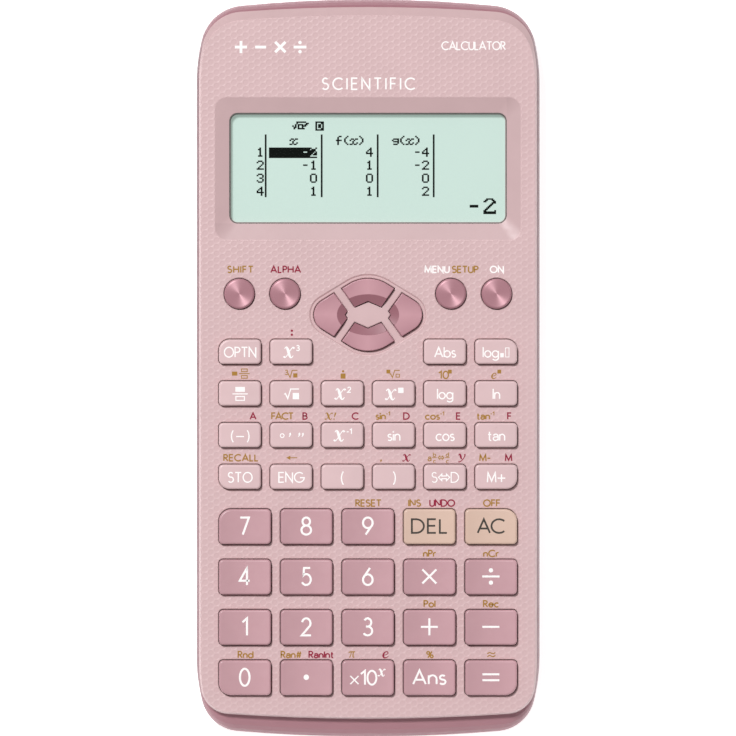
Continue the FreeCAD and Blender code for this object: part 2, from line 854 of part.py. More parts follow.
def add_display_seat(body):
    """The stiffening frame, the sloping bezel, the window's seat and the opening."""
    frame = new_sketch(body, "display_frame", offset=(0, S["display_y"], S["display_frame_bottom"]))
    add_rounded_rectangle(frame, S["display_frame_width"], S["display_frame_depth"],
                          [S["bezel_corner"]] * 4)
    frame_height = S["plate_bottom"] - S["display_frame_bottom"]
    pad(body, "display_frame_wall", frame, frame_height + S["overlap"])
    outer = new_sketch(body, "bezel_outer", offset=(0, S["display_y"], S["panel_top"]))
    add_rounded_rectangle(outer, S["bezel_width"], S["bezel_depth"], [S["bezel_corner"]] * 4)
    bezel_floor = S["panel_top"] - S["bezel_drop"]
    inner = new_sketch(body, "bezel_inner", offset=(0, S["window_y"], bezel_floor))
    add_rounded_rectangle(inner, S["window_width"], S["window_depth"], [S["window_corner"]] * 4)
    loft(body, "bezel", [outer, inner], ruled=True, cut=True)
    seat = new_sketch(body, "window_seat", offset=(0, S["window_y"], bezel_floor))
    add_rounded_rectangle(seat, S["window_width"], S["window_depth"], [S["window_corner"]] * 4)
    pocket(body, "window_seat_cut", seat, S["window_thickness"] + S["window_gap"])
    ledge = S["window_ledge"] * 2
    opening = new_sketch(body, "window_opening", offset=(0, S["window_y"], bezel_floor))
    add_rounded_rectangle(opening, S["window_width"] - ledge, S["window_depth"] - ledge,
                          [S["window_corner"] - S["window_ledge"]] * 4)
    pocket(body, "window_opening_cut", opening, S["panel_top"])


def add_cell_relief(body):
    """A round groove under the panel that clears the battery."""
    relief = new_sketch(body, "cell_relief", "YZ_Plane", offset=(0, 0, S["cell_x"]))
    add_circle(relief, S["cell_y"], S["cell_height"], S["cell_radius"] + S["cell_gap"])
    pocket(body, "cell_relief_cut", relief, S["bay_length"], both_ways=True)


def cursor_belt(extra):
    """The rounded lozenge round the four cursor keys, as its pulleys."""
    nose = (S["cursor_nose_x"], Size.of(0), S["cursor_nose_radius"] + extra)
    waist = S["cursor_waist_radius"] + extra
    low = Size.of(0)
    return [nose, (Size.of(0), low, waist), (-nose[0], nose[1], nose[2]), (Size.of(0), low, waist)]


def add_cursor_recess(body):
    """The shallow dip that the cursor keys stand in, with sloping sides."""
    sketches = []
    for name, drop, extra in (("rim", 0, S["cursor_rim"]),
                              ("floor", S["cursor_recess"], S["cursor_rim"] - S["cursor_recess"])):
        sketch = new_sketch(body, "cursor_" + name, offset=(0, S["cursor_y"], S["panel_top"] - drop))
        add_belt(sketch, cursor_belt(extra))
        sketches.append(sketch)
    loft(body, "cursor_recess", sketches, ruled=True, cut=True)


def key_opening_tools():
    """Prisms for the openings that all the keys stand in."""
    gap = S["key_clearance"]
    bottom = S["plate_bottom"] - S["cut_clear"]
    height = S["panel_top"] - bottom + S["cut_clear"]
    tools = []
    for name, x, y, family in key_places():
        sketch = free_sketch("opening_" + name, x, y, bottom)
        add_key_outline(sketch, name, family, gap)
        tools.append(solid_extrusion("tool_" + name, sketch, height))
    for name, x in round_places():
        tools.append(solid_cylinder("tool_" + name, x, S["round_key_y"], bottom, bottom + height,
                                    S["round_key_radius"] + gap))
    for name, family, turn in CURSOR_KEYS:
        sketch = free_sketch("opening_" + name, 0, S["cursor_y"], bottom, turn)
        add_petal_outline(sketch, family, gap)
        tools.append(solid_extrusion("tool_" + name, sketch, height))
    return tools


def chamfer_openings(opened):
    """Break the upper edge of every key opening."""
    document.recompute()
    on_panel = lies_at(S["panel_top"].value)
    on_floor = lies_at((S["panel_top"] - S["cursor_recess"]).value)
    rim = S["cursor_rim"].value

    def opening_edge(edge):
        if on_panel(edge):
            return over_mat(edge.BoundBox) and cursor_distance(edge) > rim * 1.5
        return on_floor(edge) and cursor_distance(edge) < rim / 2

    size = S["opening_chamfer"].value
    chamfer = document.addObject("Part::Chamfer", "front_case")
    chamfer.Label = "front_case"
    chamfer.Base = opened
    chamfer.Edges = [(number + 1, size, size) for number, edge in enumerate(opened.Shape.Edges)
                     if opening_edge(edge)]
    return chamfer


def over_mat(box):
    """Whether a box lies over the key mat, where all the openings are."""
    across = abs(box.Center.x) < S["mat_width"].value / 2
    return across and box.YMin > S["mat_bottom_y"].value and box.YMax < S["mat_top_y"].value


def cursor_distance(edge):
    """How far an edge's ends lie outside the lozenge of the cursor keys."""
    waist, nose = S["cursor_waist_radius"].value, S["cursor_nose_radius"].value
    lean = math.asin((waist - nose) / S["cursor_nose_x"].value)
    distances = []
    for vertex in edge.Vertexes:
        x, y = abs(vertex.X), abs(vertex.Y - S["cursor_y"].value)
        distances.append(x * math.sin(lean) + y * math.cos(lean) - waist)
    return max(distances)


def make_rear_case():
    """The tray: a shell, the ribs, posts and battery bay, and its openings."""
    shell = make_rear_shell()
    posts, holes = [], []
    for number, (x, y) in enumerate(screw_places()):
        posts.append(solid_cylinder("post%d" % number, x, y, S["floor_thickness"] - S["overlap"],
                                    S["board_bottom"], S["post_radius"]))
        holes.append(solid_cylinder("head_pocket%d" % number, x, y, -S["cut_clear"],
                                    S["head_pocket_depth"], S["head_pocket_radius"]))
        holes.append(solid_cylinder("shank_hole%d" % number, x, y, -S["cut_clear"],
                                    S["board_bottom"] + S["cut_clear"], S["shank_hole_radius"]))
    walls, bay_holes = battery_bay()
    solid = fuse_all("rear_solid", [shell] + posts + floor_ribs() + walls)
    case = cut_all("rear_case", solid, holes + bay_holes)
    case.Label = "rear_case"
    return case


def make_rear_shell():
    """Outlines skinned from the flat base round the sides to the split line."""
    body = new_body("rear_shell")
    sketches = []
    rise, widest = S["split_height"] - S["widest_height"], S["widest_height"]
    for number, angle in enumerate(BASE_ANGLES):
        turn = math.radians(angle)
        level = S["base_side_height"] * (1 - math.cos(turn))
        inset = S["base_inset"] * (1 - math.sin(turn))
        sketches.append(outline_sketch(body, "base%d" % number, level, 0, inset))
    for number, angle in enumerate(RIM_ANGLES):
        turn, last = math.radians(angle), math.radians(RIM_ANGLES[-1])
        level = widest + rise * (math.sin(turn) / math.sin(last))
        blend = Size.of((1 - math.cos(turn)) / (1 - math.cos(last)))
        sketches.append(outline_sketch(body, "rim%d" % number, level, blend))
    loft(body, "shell", sketches, ruled=True)
    cavity = outline_sketch(body, "cavity", S["split_height"], 1, S["rear_wall"])
    pocket(body, "hollow", cavity, S["split_height"] - S["floor_thickness"])
    return body


def floor_ribs():
    """Low stiffening ribs across the floor and one down the middle."""
    floor = S["floor_thickness"] - S["overlap"]
    top = S["floor_thickness"] + S["rib_height"]
    half = S["front_half_width"] - S["rear_wall"] - S["rib_end_gap"]
    thick = S["rib_width"] / 2
    ribs = [solid_box("rib%d" % number, (-half, y - thick, floor), (half, y + thick, top))
            for number, y in enumerate(RIB_ROWS)]
    return ribs + [solid_box("spine", (-thick, S["spine_bottom_y"], floor),
                             (thick, S["spine_top_y"], top))]


def battery_bay():
    """Walls round the battery and its cover's boss, and what is cut from them."""
    half_length, half_width = S["bay_length"] / 2, S["bay_width"] / 2
    wall, bite, clear = S["bay_wall"], S["overlap"], S["cut_clear"]
    x, y = S["cell_x"], S["cell_y"]
    floor = S["floor_thickness"] - bite
    boss_x, boss_top = S["cover_screw_x"], S["cover_boss_top"]
    rib_half = S["cover_boss_rib"] / 2
    walls = [
        solid_box("bay_walls", (x - half_length - wall, y - half_width - wall, floor),
                  (x + half_length + wall, y + half_width + wall, S["bay_wall_top"])),
        solid_cylinder("cover_boss", boss_x, y, floor, boss_top, S["cover_boss_radius"]),
        solid_box("cover_boss_rib", (boss_x, y - rib_half, floor),
                  (x - half_length - bite, y + rib_half, boss_top)),
    ]
    seat = free_sketch("cover_seat_plan", S["cover_x"], y, -clear)
    gap = S["cover_gap"]
    add_rounded_rectangle(seat, S["cover_length"] + gap * 2, S["cover_width"] + gap * 2,
                          [S["cover_corner"] + gap] * 4)
    holes = [
        solid_extrusion("cover_seat", seat, S["floor_thickness"] + clear),
        solid_box("bay", (x - half_length, y - half_width, -clear),
                  (x + half_length, y + half_width, S["split_height"] + clear)),
        solid_cylinder("cover_boss_hole", boss_x, y, -clear, boss_top - S["cover_boss_roof"],
                       S["shank_hole_radius"]),
    ]
    reach = S["contact_tab_width"] / 2 + S["contact_slot_gap"]
    slot_bottom = S["mat_bottom"] - S["small_gap"]
    for name, side in (("left", LEFT), ("right", RIGHT)):
        near = x + (half_length - reach) * side
        holes.append(solid_box("tab_slot_" + name,
                               (near - reach, y - half_width - wall - bite, slot_bottom),
                               (near + reach, y, S["split_height"] + clear)))
    return walls, holes


# -------------------------------------------------------------------- the keys

def add_flange_and_stem(body, sketch):
    """The lip that keeps a key behind the panel, and the stem on its dome."""
    pad(body, "flange", sketch, S["flange_top"] - S["flange_bottom"])
    cylinder(body, "stem", Size.of(0), Size.of(0), S["stem_bottom"],
             S["flange_bottom"] + S["overlap"], S["stem_radius"])


def place_body(body, x, y, turn=0.0):
    body.Placement = Placement(Vector(Size.of(x).value, Size.of(y).value, 0),
                               Rotation(Vector(0, 0, 1), turn))
    bind(body, "Placement.Base.x", x)
    bind(body, "Placement.Base.y", y)


def make_rectangular_key(name, x, y, family):
    body = new_body(name)
    place_body(body, x, y)
    flange = new_sketch(body, "flange_plan", offset=(0, 0, S["flange_bottom"]))
    add_key_outline(flange, name, family, S["flange_lip"])
    add_flange_and_stem(body, flange)
    cap_bottom = S["flange_top"] - S["overlap"]
    cap = new_sketch(body, "cap_plan", offset=(0, 0, cap_bottom))
    add_key_outline(cap, name, family)
    pad(body, "cap", cap, S["key_top"] - cap_bottom)
    dish = new_sketch(body, "dish_profile", "XZ_Plane")
    half_width = S[family + "_key_width"] / 2
    sag = half_width * half_width / (S["key_dish_radius"] * 2)
    add_circle(dish, 0, S["key_top"] + S["key_dish_radius"] - sag, S["key_dish_radius"])
    hollow = pocket(body, "dish", dish, S[family + "_key_depth"] * 2, both_ways=True)
    document.recompute()
    top = max(hollow.Shape.Faces, key=lambda face: face.CenterOfMass.z)
    rim = [edge.hashCode() for edge in top.Edges]
    round_edges(body, "edge_round", hollow, lambda edge: edge.hashCode() in rim, S["key_edge_round"])
    return body


def make_round_key(name, x):
    """A turned key: stem, lip and a cap with a spun dish in its top."""
    body = new_body(name)
    place_body(body, x, S["round_key_y"])
    profile = new_sketch(body, "profile", "XZ_Plane")
    radius = S["round_key_radius"]
    lip = radius + S["flange_lip"]
    edge = S["key_edge_round"]
    top = S["round_key_top"]
    sag = radius * radius / (S["round_dish_radius"] * 2)
    points = [
        (Size.of(0), S["stem_bottom"]), (S["stem_radius"], S["stem_bottom"]),
        (S["stem_radius"], S["flange_bottom"]), (lip, S["flange_bottom"]), (lip, S["flange_top"]),
        (radius, S["flange_top"]), (radius, top - edge), (radius - edge, top), (Size.of(0), top - sag),
    ]
    add_turned_profile(profile, points)
    turned = body.newObject("PartDesign::Revolution", name + "_turned")
    turned.Profile = profile
    turned.ReferenceAxis = (profile, ["V_Axis"])
    turned.Angle = 360
    document.recompute()
    round_edges(body, "edge_round", turned, lies_at(top.value), S["cursor_edge_round"])
    return body


def add_turned_profile(sketch, points):
    """A closed polygon whose corners all follow the sheet."""
    numbers = [(x.value, y.value) for x, y in points]
    pieces = [add_line(sketch, first, second)
              for first, second in zip(numbers, numbers[1:] + numbers[:1])]
    for first, second in zip(pieces, pieces[1:] + pieces[:1]):
        sketch.addConstraint(Sketcher.Constraint("Coincident", first, 2, second, 1))
    for piece, (x, y) in zip(pieces, points):
        place_point(sketch, piece, 1, x, y)


def make_cursor_key(name, family, turn):
    """One petal of the cursor pad, with the slope round the pad's middle."""
    body = new_body(name)
    place_body(body, 0, S["cursor_y"], turn)
    flange = new_sketch(body, "flange_plan", offset=(0, 0, S["flange_bottom"]))
    add_petal_outline(flange, family, S["flange_lip"])
    pad(body, "flange", flange, S["flange_top"] - S["flange_bottom"])
    middle = (S[family + "_notch"] + S[family + "_outer_along"]) / 2
    cylinder(body, "stem", middle, Size.of(0), S["stem_bottom"],
             S["flange_bottom"] + S["overlap"], S["stem_radius"])
    cap_bottom = S["flange_top"] - S["overlap"]
    cap = new_sketch(body, "cap_plan", offset=(0, 0, cap_bottom))
    add_petal_outline(cap, family)
    top = pad(body, "cap", cap, S["cursor_top"] - cap_bottom)
    round_edges(body, "edge_round", top, lies_at(S["cursor_top"].value), S["cursor_edge_round"])
    cut_cursor_slope(body, turn)
    return body


def cut_cursor_slope(body, turn):
    """Cut the oval slope that the four petals share about the pad's centre."""
    levels = (("slope_top", S["cursor_dish_lift"], 0),
              ("slope_foot", -S["cursor_dish_drop"], S["cursor_dish_inset"]))
    rings = []
    for name, lift, inset in levels:
        sketch = new_sketch(body, name, offset=(0, 0, S["cursor_top"] + lift), turn=-turn)
        add_ellipse(sketch, S["cursor_dish_x"] - inset, S["cursor_dish_y"] - inset)
        rings.append(sketch)
    loft(body, "slope", rings, ruled=True, cut=True)


# ------------------------------------------------------------- inside the cases

def make_display_window():
    body = new_body("display_window")
    top = S["panel_top"] - S["bezel_drop"]
    plan = new_sketch(body, "plan", offset=(0, S["window_y"], top - S["window_thickness"]))
    gap = S["window_gap"]
    add_rounded_rectangle(plan, S["window_width"] - gap * 2, S["window_depth"] - gap * 2,
                          [S["window_corner"] - gap] * 4)
    pad(body, "pane", plan, S["window_thickness"])
    return body


def make_display_module():
    """The glass sandwich, its holder and the rubber connector strip."""
    y = S["window_y"]
    top = S["display_frame_bottom"] - S["small_gap"]
    half_width, half_depth = S["glass_width"] / 2, S["glass_depth"] / 2
    middle = top - S["glass_thickness"]
    bottom = middle - S["glass_thickness"]
    front_glass = solid_box("front_glass", (-half_width, y - half_depth, middle),
                            (half_width, y + half_depth, top))
    rear_edge = y - half_depth - S["glass_rear_extra"]
    rear_glass = solid_box("rear_glass", (-half_width, rear_edge, bottom),
                           (half_width, y + half_depth, middle))
    holder_x, holder_y = S["holder_width"] / 2, S["holder_depth"] / 2
    shelf = S["mat_bottom"]
    holder_block = solid_box("holder_block", (-holder_x, S["display_y"] - holder_y, shelf),
                             (holder_x, S["display_y"] + holder_y, top))
    gap, rim, clear = S["small_gap"], S["holder_rim"], S["cut_clear"]
    well = solid_box("holder_well", (-half_width - gap, rear_edge - gap, bottom),
                     (half_width + gap, y + half_depth + gap, top + clear))
    opening = solid_box("holder_opening", (rim - half_width, y - half_depth + rim, shelf - clear),
                        (half_width - rim, y + half_depth - rim, top + clear))
    holder = cut_all("display_holder", holder_block, [well, opening])
    strip_front = y - half_depth + S["strip_offset"]
    strip_end = half_width - S["strip_end_gap"]
    strip = solid_box("connector_strip", (-strip_end, strip_front, shelf),
                      (strip_end, strip_front + S["strip_depth"], bottom))
    return make_solids("display_module", [front_glass, rear_glass, holder, strip])


def key_centres():
    """Where every key presses, as x and y."""
    centres = [(x, y) for _, x, y, _ in key_places()]
    centres += [(x, S["round_key_y"]) for _, x in round_places()]
    for _, family, turn in CURSOR_KEYS:
        reach = (S[family + "_notch"] + S[family + "_outer_along"]) / 2
        angle = math.radians(turn)
        centres.append((reach * round(math.cos(angle)), S["cursor_y"] + reach * round(math.sin(angle))))
    return centres


def boss_hole_tools(name, bottom, top):
    """Cylinders that clear the screw bosses which pass through a flat part."""
    tools = []
    clear = S["cut_clear"]
    for number, (x, y) in enumerate(screw_places()):
        if y.value < S["board_top_y"].value:
            tools.append(solid_cylinder("%s_hole%d" % (name, number), x, y, bottom - clear,
                                        top + clear, S["boss_hole_radius"]))
    return tools


def flat_plate(name, width, low_y, high_y, bottom, thickness, corner):
    """A rounded flat plate, as a body."""
    body = new_body(name)
    plan = new_sketch(body, "plan", offset=(0, (low_y + high_y) / 2, bottom))
    add_rounded_rectangle(plan, width, high_y - low_y, [corner] * 4)
    pad(body, "plate", plan, thickness)
    return body


def make_key_mat():
    """One rubber sheet with a hollow dome under every key."""
    bottom = S["mat_bottom"]
    top = bottom + S["mat_thickness"]
    sheet = flat_plate("mat_sheet", S["mat_width"], S["mat_bottom_y"], S["mat_top_y"], bottom,
                       S["mat_thickness"], S["mat_corner"])
    domes, hollows = [], []
    for number, (x, y) in enumerate(key_centres()):
        domes.append(solid_cone("dome%d" % number, x, y, top - S["overlap"], S["stem_bottom"],
                                S["dome_base_radius"], S["dome_top_radius"]))
        hollows.append(solid_cone("hollow%d" % number, x, y, bottom, S["stem_bottom"] - S["dome_roof"],
                                  S["dome_base_radius"] - S["dome_wall"],
                                  S["dome_top_radius"] - S["dome_wall"]))
    raised = fuse_all("mat_raised", [sheet] + domes)
    mat = cut_all("key_mat", raised, hollows + boss_hole_tools("mat", bottom, top))
    mat.Label = "key_mat"
    return mat


def make_circuit_board():
    """The board, the parts soldered to it and the two battery contacts."""
    bottom = S["board_bottom"]
    top = bottom + S["board_thickness"]
    plate = flat_plate("board_plate", S["board_width"], S["board_bottom_y"], S["board_top_y"], bottom,
                       S["board_thickness"], S["board_corner"])
    board = cut_all("board", plate, boss_hole_tools("board", bottom, top))
    side = S["processor_side"]
    processor = part_under("processor", side / -2, S["processor_y"] - side / 2, side, side,
                           S["processor_height"])
    clock = part_under("clock_crystal", S["clock_x"] - S["clock_length"] / 2,
                       S["clock_y"] - S["clock_width"] / 2, S["clock_length"], S["clock_width"],
                       S["clock_height"])
    reservoir = solid_cylinder("reservoir_capacitor", S["reservoir_x"], S["reservoir_y"],
                               bottom - S["reservoir_height"], bottom, S["reservoir_radius"])
    parts = [board, processor, clock, reservoir]
    for row in range(CHIP_ROWS):
        for column in range(CHIP_COLUMNS):
            x = S["chip_first_x"] + S["chip_pitch_x"] * column
            y = S["chip_first_y"] + S["chip_pitch_y"] * row
            parts.append(part_under("small_part%d%d" % (row, column), x, y, S["chip_length"],
                                    S["chip_width"], S["chip_height"]))
    return make_solids("circuit_board", parts + battery_contacts(top))


def part_under(name, x, y, length, width, height):
    """A block soldered to the underside of the board."""
    bottom = S["board_bottom"]
    return solid_box(name, (x, y, bottom - height), (x + length, y + width, bottom))


def battery_contacts(board_top):
    """A bent metal plate at each end of the battery, with a tab on the board."""
    contacts = []
    thickness, width = S["contact_thickness"], S["contact_width"]
    x, y = S["cell_x"], S["cell_y"]
    cell_half = (S["cell_length"] + S["cell_button_length"]) / 2
    low, high = S["cell_height"] - S["contact_below"], S["cell_height"] + S["contact_above"]
    wall_reach = S["bay_length"] / 2 - S["contact_seat_gap"]
    bay_edge = y - S["bay_width"] / 2
    for name, side in (("button_contact", RIGHT), ("spring_contact", LEFT)):
        wall = x + wall_reach * side
        face = wall - thickness * side
        near, far = (face, wall) if side > 0 else (wall, face)
        plate = solid_box(name + "_plate", (near, y - width / 2, low), (far, y + width / 2, high))
        lobe = contact_lobe(name + "_lobe", face, wall_reach - thickness - cell_half, side)
        tab_far = face - (S["contact_tab_width"] - thickness) * side
        tab_low, tab_high = (tab_far, wall) if side > 0 else (wall, tab_far)
        leg = solid_box(name + "_leg", (near, bay_edge - S["contact_leg_reach"], board_top),
                        (far, y - width / 2 + S["overlap"], board_top + S["contact_leg_height"]))
        tab = solid_box(name + "_tab", (tab_low, S["contact_tab_y"], board_top),
                        (tab_high, bay_edge - S["contact_tab_reach"], board_top + thickness))
        contacts.append(fuse_all(name, [plate, lobe, leg, tab]))
    return contacts


def contact_lobe(name, face, length, side):
    """A blunt cone that stands on a contact's face and meets the battery's end."""
    lobe = document.addObject("Part::Cone", name)
    bind(lobe, "Radius1", S["lobe_base_radius"])
    bind(lobe, "Radius2", S["lobe_tip_radius"])
    bind(lobe, "Height", length)
    lobe.Placement = Placement(Vector(0, 0, 0), Rotation(Vector(0, 1, 0), -90.0 * side))
    for letter, place in zip("xyz", (face, S["cell_y"], S["cell_height"])):
        bind(lobe, "Placement.Base." + letter, place)
    return lobe


def make_battery_cell():
    """A AAA cell: the can, its raised button and the flat at the other end."""
    body = new_body("battery_cell")
    profile = new_sketch(body, "profile", "XZ_Plane")
    edge = S["cell_edge"]
    radius = S["cell_radius"]
    total = S["cell_length"] + S["cell_button_length"]
    shoulder = S["cell_length"]
    points = [
        (Size.of(0), Size.of(0)), (radius - edge, Size.of(0)), (radius, edge), (radius, shoulder - edge),
        (radius - edge, shoulder), (S["cell_button_radius"], shoulder),
        (S["cell_button_radius"], total), (Size.of(0), total),
    ]
    add_turned_profile(profile, points)
    turned = body.newObject("PartDesign::Revolution", "battery_cell_turned")
    turned.Profile = profile
    turned.ReferenceAxis = (profile, ["V_Axis"])
    turned.Angle = 360
    start = S["cell_x"] - total / 2
    body.Placement = Placement(Vector(start.value, S["cell_y"].value, S["cell_height"].value),
                               Rotation(Vector(0, 1, 0), 90))
    bind(body, "Placement.Base.x", start)
    bind(body, "Placement.Base.y", S["cell_y"])
    bind(body, "Placement.Base.z", S["cell_height"])
    return body


def make_battery_cover():
    body = new_body("battery_cover")
    y = S["cell_y"]
    outer, top = S["cover_outer"], S["floor_thickness"]
    plan = new_sketch(body, "plan", offset=(S["cover_x"], y, outer))
    add_rounded_rectangle(plan, S["cover_length"], S["cover_width"], [S["cover_corner"]] * 4)
    pad(body, "plate", plan, top - outer)
    groove = new_sketch(body, "cell_groove", "YZ_Plane", offset=(0, 0, S["cell_x"]))
    add_circle(groove, y, S["cell_height"], S["cell_radius"] + S["cell_gap"])
    pocket(body, "cell_groove_cut", groove, S["bay_length"] - S["cover_groove_margin"],
           both_ways=True)
    screw_x = S["cover_screw_x"]
    head_top = outer + S["small_gap"] + S["cover_head_height"]
    cylinder(body, "head_pocket", screw_x, y, Size.of(0), head_top, S["head_pocket_radius"],
             cut=True)
    cylinder(body, "shank_hole", screw_x, y, Size.of(0), top + S["cut_clear"],
             S["shank_hole_radius"], cut=True)
    for number in range(GRIP_COUNT):
        x = S["grip_x"] + S["grip_pitch"] * number
        block(body, "grip%d" % number, (x, y - S["grip_length"] / 2, Size.of(0)),
              (x + S["grip_width"], y + S["grip_length"] / 2, outer + S["grip_depth"]), cut=True)
    return body


def cross_headed_screw(name, x, y, head_bottom, head_height, tip):
    """A pan-headed screw, head down, with a cross recess."""
    head = solid_cylinder(name + "_head", x, y, head_bottom, head_bottom + head_height,
                          S["screw_head_radius"])
    shank = solid_cylinder(name + "_shank", x, y, head_bottom + head_height - S["overlap"], tip,
                           S["shank_radius"])
    solid = fuse_all(name + "_solid", [head, shank])
    arm, half = S["drive_slot"] / 2, S["drive_reach"]
    slot_bottom, slot_top = head_bottom - S["cut_clear"], head_bottom + head_height * S["drive_depth_share"]
    slots = []
    for label, reach_x, reach_y in (("long", half, arm), ("wide", arm, half)):
        slots.append(solid_box("%s_%s_slot" % (name, label), (x - reach_x, y - reach_y, slot_bottom),
                               (x + reach_x, y + reach_y, slot_top)))
    return cut_all(name, solid, slots)


def make_case_screws():
    head_bottom = S["head_pocket_depth"] - S["screw_head_height"]
    screws = [cross_headed_screw("case_screw%d" % number, x, y, head_bottom, S["screw_head_height"],
                                 S["screw_tip_height"])
              for number, (x, y) in enumerate(screw_places())]
    return make_solids("case_screws", screws)


def make_cover_screw():
    head_bottom = S["cover_outer"] + S["small_gap"]
    screw = cross_headed_screw("cover_screw", S["cover_screw_x"], S["cell_y"], head_bottom,
                               S["cover_head_height"], S["cover_screw_tip"])
    screw.Label = "battery_cover_screw"
    return screw


# ------------------------------------------------------------------------ output

def make_parts():
    parts = [make_front_case(), make_rear_case(), make_display_window(), make_display_module(),
             make_circuit_board(), make_key_mat(), make_battery_cell(), make_battery_cover(),
             make_cover_screw(), make_case_screws()]
    parts += [make_rectangular_key(*place) for place in key_places()]
    parts += [make_round_key(name, x) for name, x in round_places()]
    parts += [make_cursor_key(*place) for place in CURSOR_KEYS]
    return parts


def check_parts(parts):
    document.recompute()
    for thing in document.Objects:
        if "Invalid" in thing.State or "Error" in thing.State:
            raise RuntimeError("%s failed: %s" % (thing.Name, thing.State))
    for part in parts:
        if part.Shape.isNull() or not part.Shape.isValid():
            raise RuntimeError("%s has no valid shape" % part.Label)


def write_parts(parts):
    os.makedirs("parts", exist_ok=True)
    for part in parts:
        part.Shape.exportStep("parts/%s.step" % part.Label)


all_parts = make_parts()
check_parts(all_parts)
write_parts(all_parts)
print("%d sub-parts written" % len(all_parts))
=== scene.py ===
"""Looks for a pocket scientific calculator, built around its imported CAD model."""

import json
import math

import bpy
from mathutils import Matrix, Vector
from mathutils.bvhtree import BVHTree

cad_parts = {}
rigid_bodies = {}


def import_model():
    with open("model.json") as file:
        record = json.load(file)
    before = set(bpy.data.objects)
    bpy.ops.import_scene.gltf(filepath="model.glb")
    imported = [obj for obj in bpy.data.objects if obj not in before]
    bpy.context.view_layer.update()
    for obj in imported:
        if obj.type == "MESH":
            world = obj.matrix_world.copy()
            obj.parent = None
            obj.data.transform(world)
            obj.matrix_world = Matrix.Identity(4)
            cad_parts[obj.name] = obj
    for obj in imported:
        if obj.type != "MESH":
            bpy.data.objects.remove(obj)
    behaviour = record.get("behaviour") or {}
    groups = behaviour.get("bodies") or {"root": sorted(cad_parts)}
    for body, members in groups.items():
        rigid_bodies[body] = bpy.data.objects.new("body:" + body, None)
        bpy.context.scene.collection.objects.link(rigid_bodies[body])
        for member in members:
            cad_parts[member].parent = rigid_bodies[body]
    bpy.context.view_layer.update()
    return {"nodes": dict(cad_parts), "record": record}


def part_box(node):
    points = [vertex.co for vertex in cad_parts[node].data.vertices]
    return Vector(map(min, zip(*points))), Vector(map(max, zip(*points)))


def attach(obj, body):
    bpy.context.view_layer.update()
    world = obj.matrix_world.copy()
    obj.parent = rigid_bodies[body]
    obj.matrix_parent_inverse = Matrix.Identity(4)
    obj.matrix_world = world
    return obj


MM = 0.001

for leftover in list(bpy.data.objects):
    bpy.data.objects.remove(leftover)
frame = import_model()
nodes = frame["nodes"]
BODY_OF = {node: body for body, members in frame["record"]["behaviour"]["bodies"].items()
           for node in members}


# ---- colours and node graphs

def srgb(red, green, blue):
    """A display colour, 0 to 255, as the linear colour that shaders take."""
    def linear(value):
        value /= 255
        return value / 12.92 if value <= 0.04045 else ((value + 0.055) / 1.055) ** 2.4
    return (linear(red), linear(green), linear(blue), 1.0)


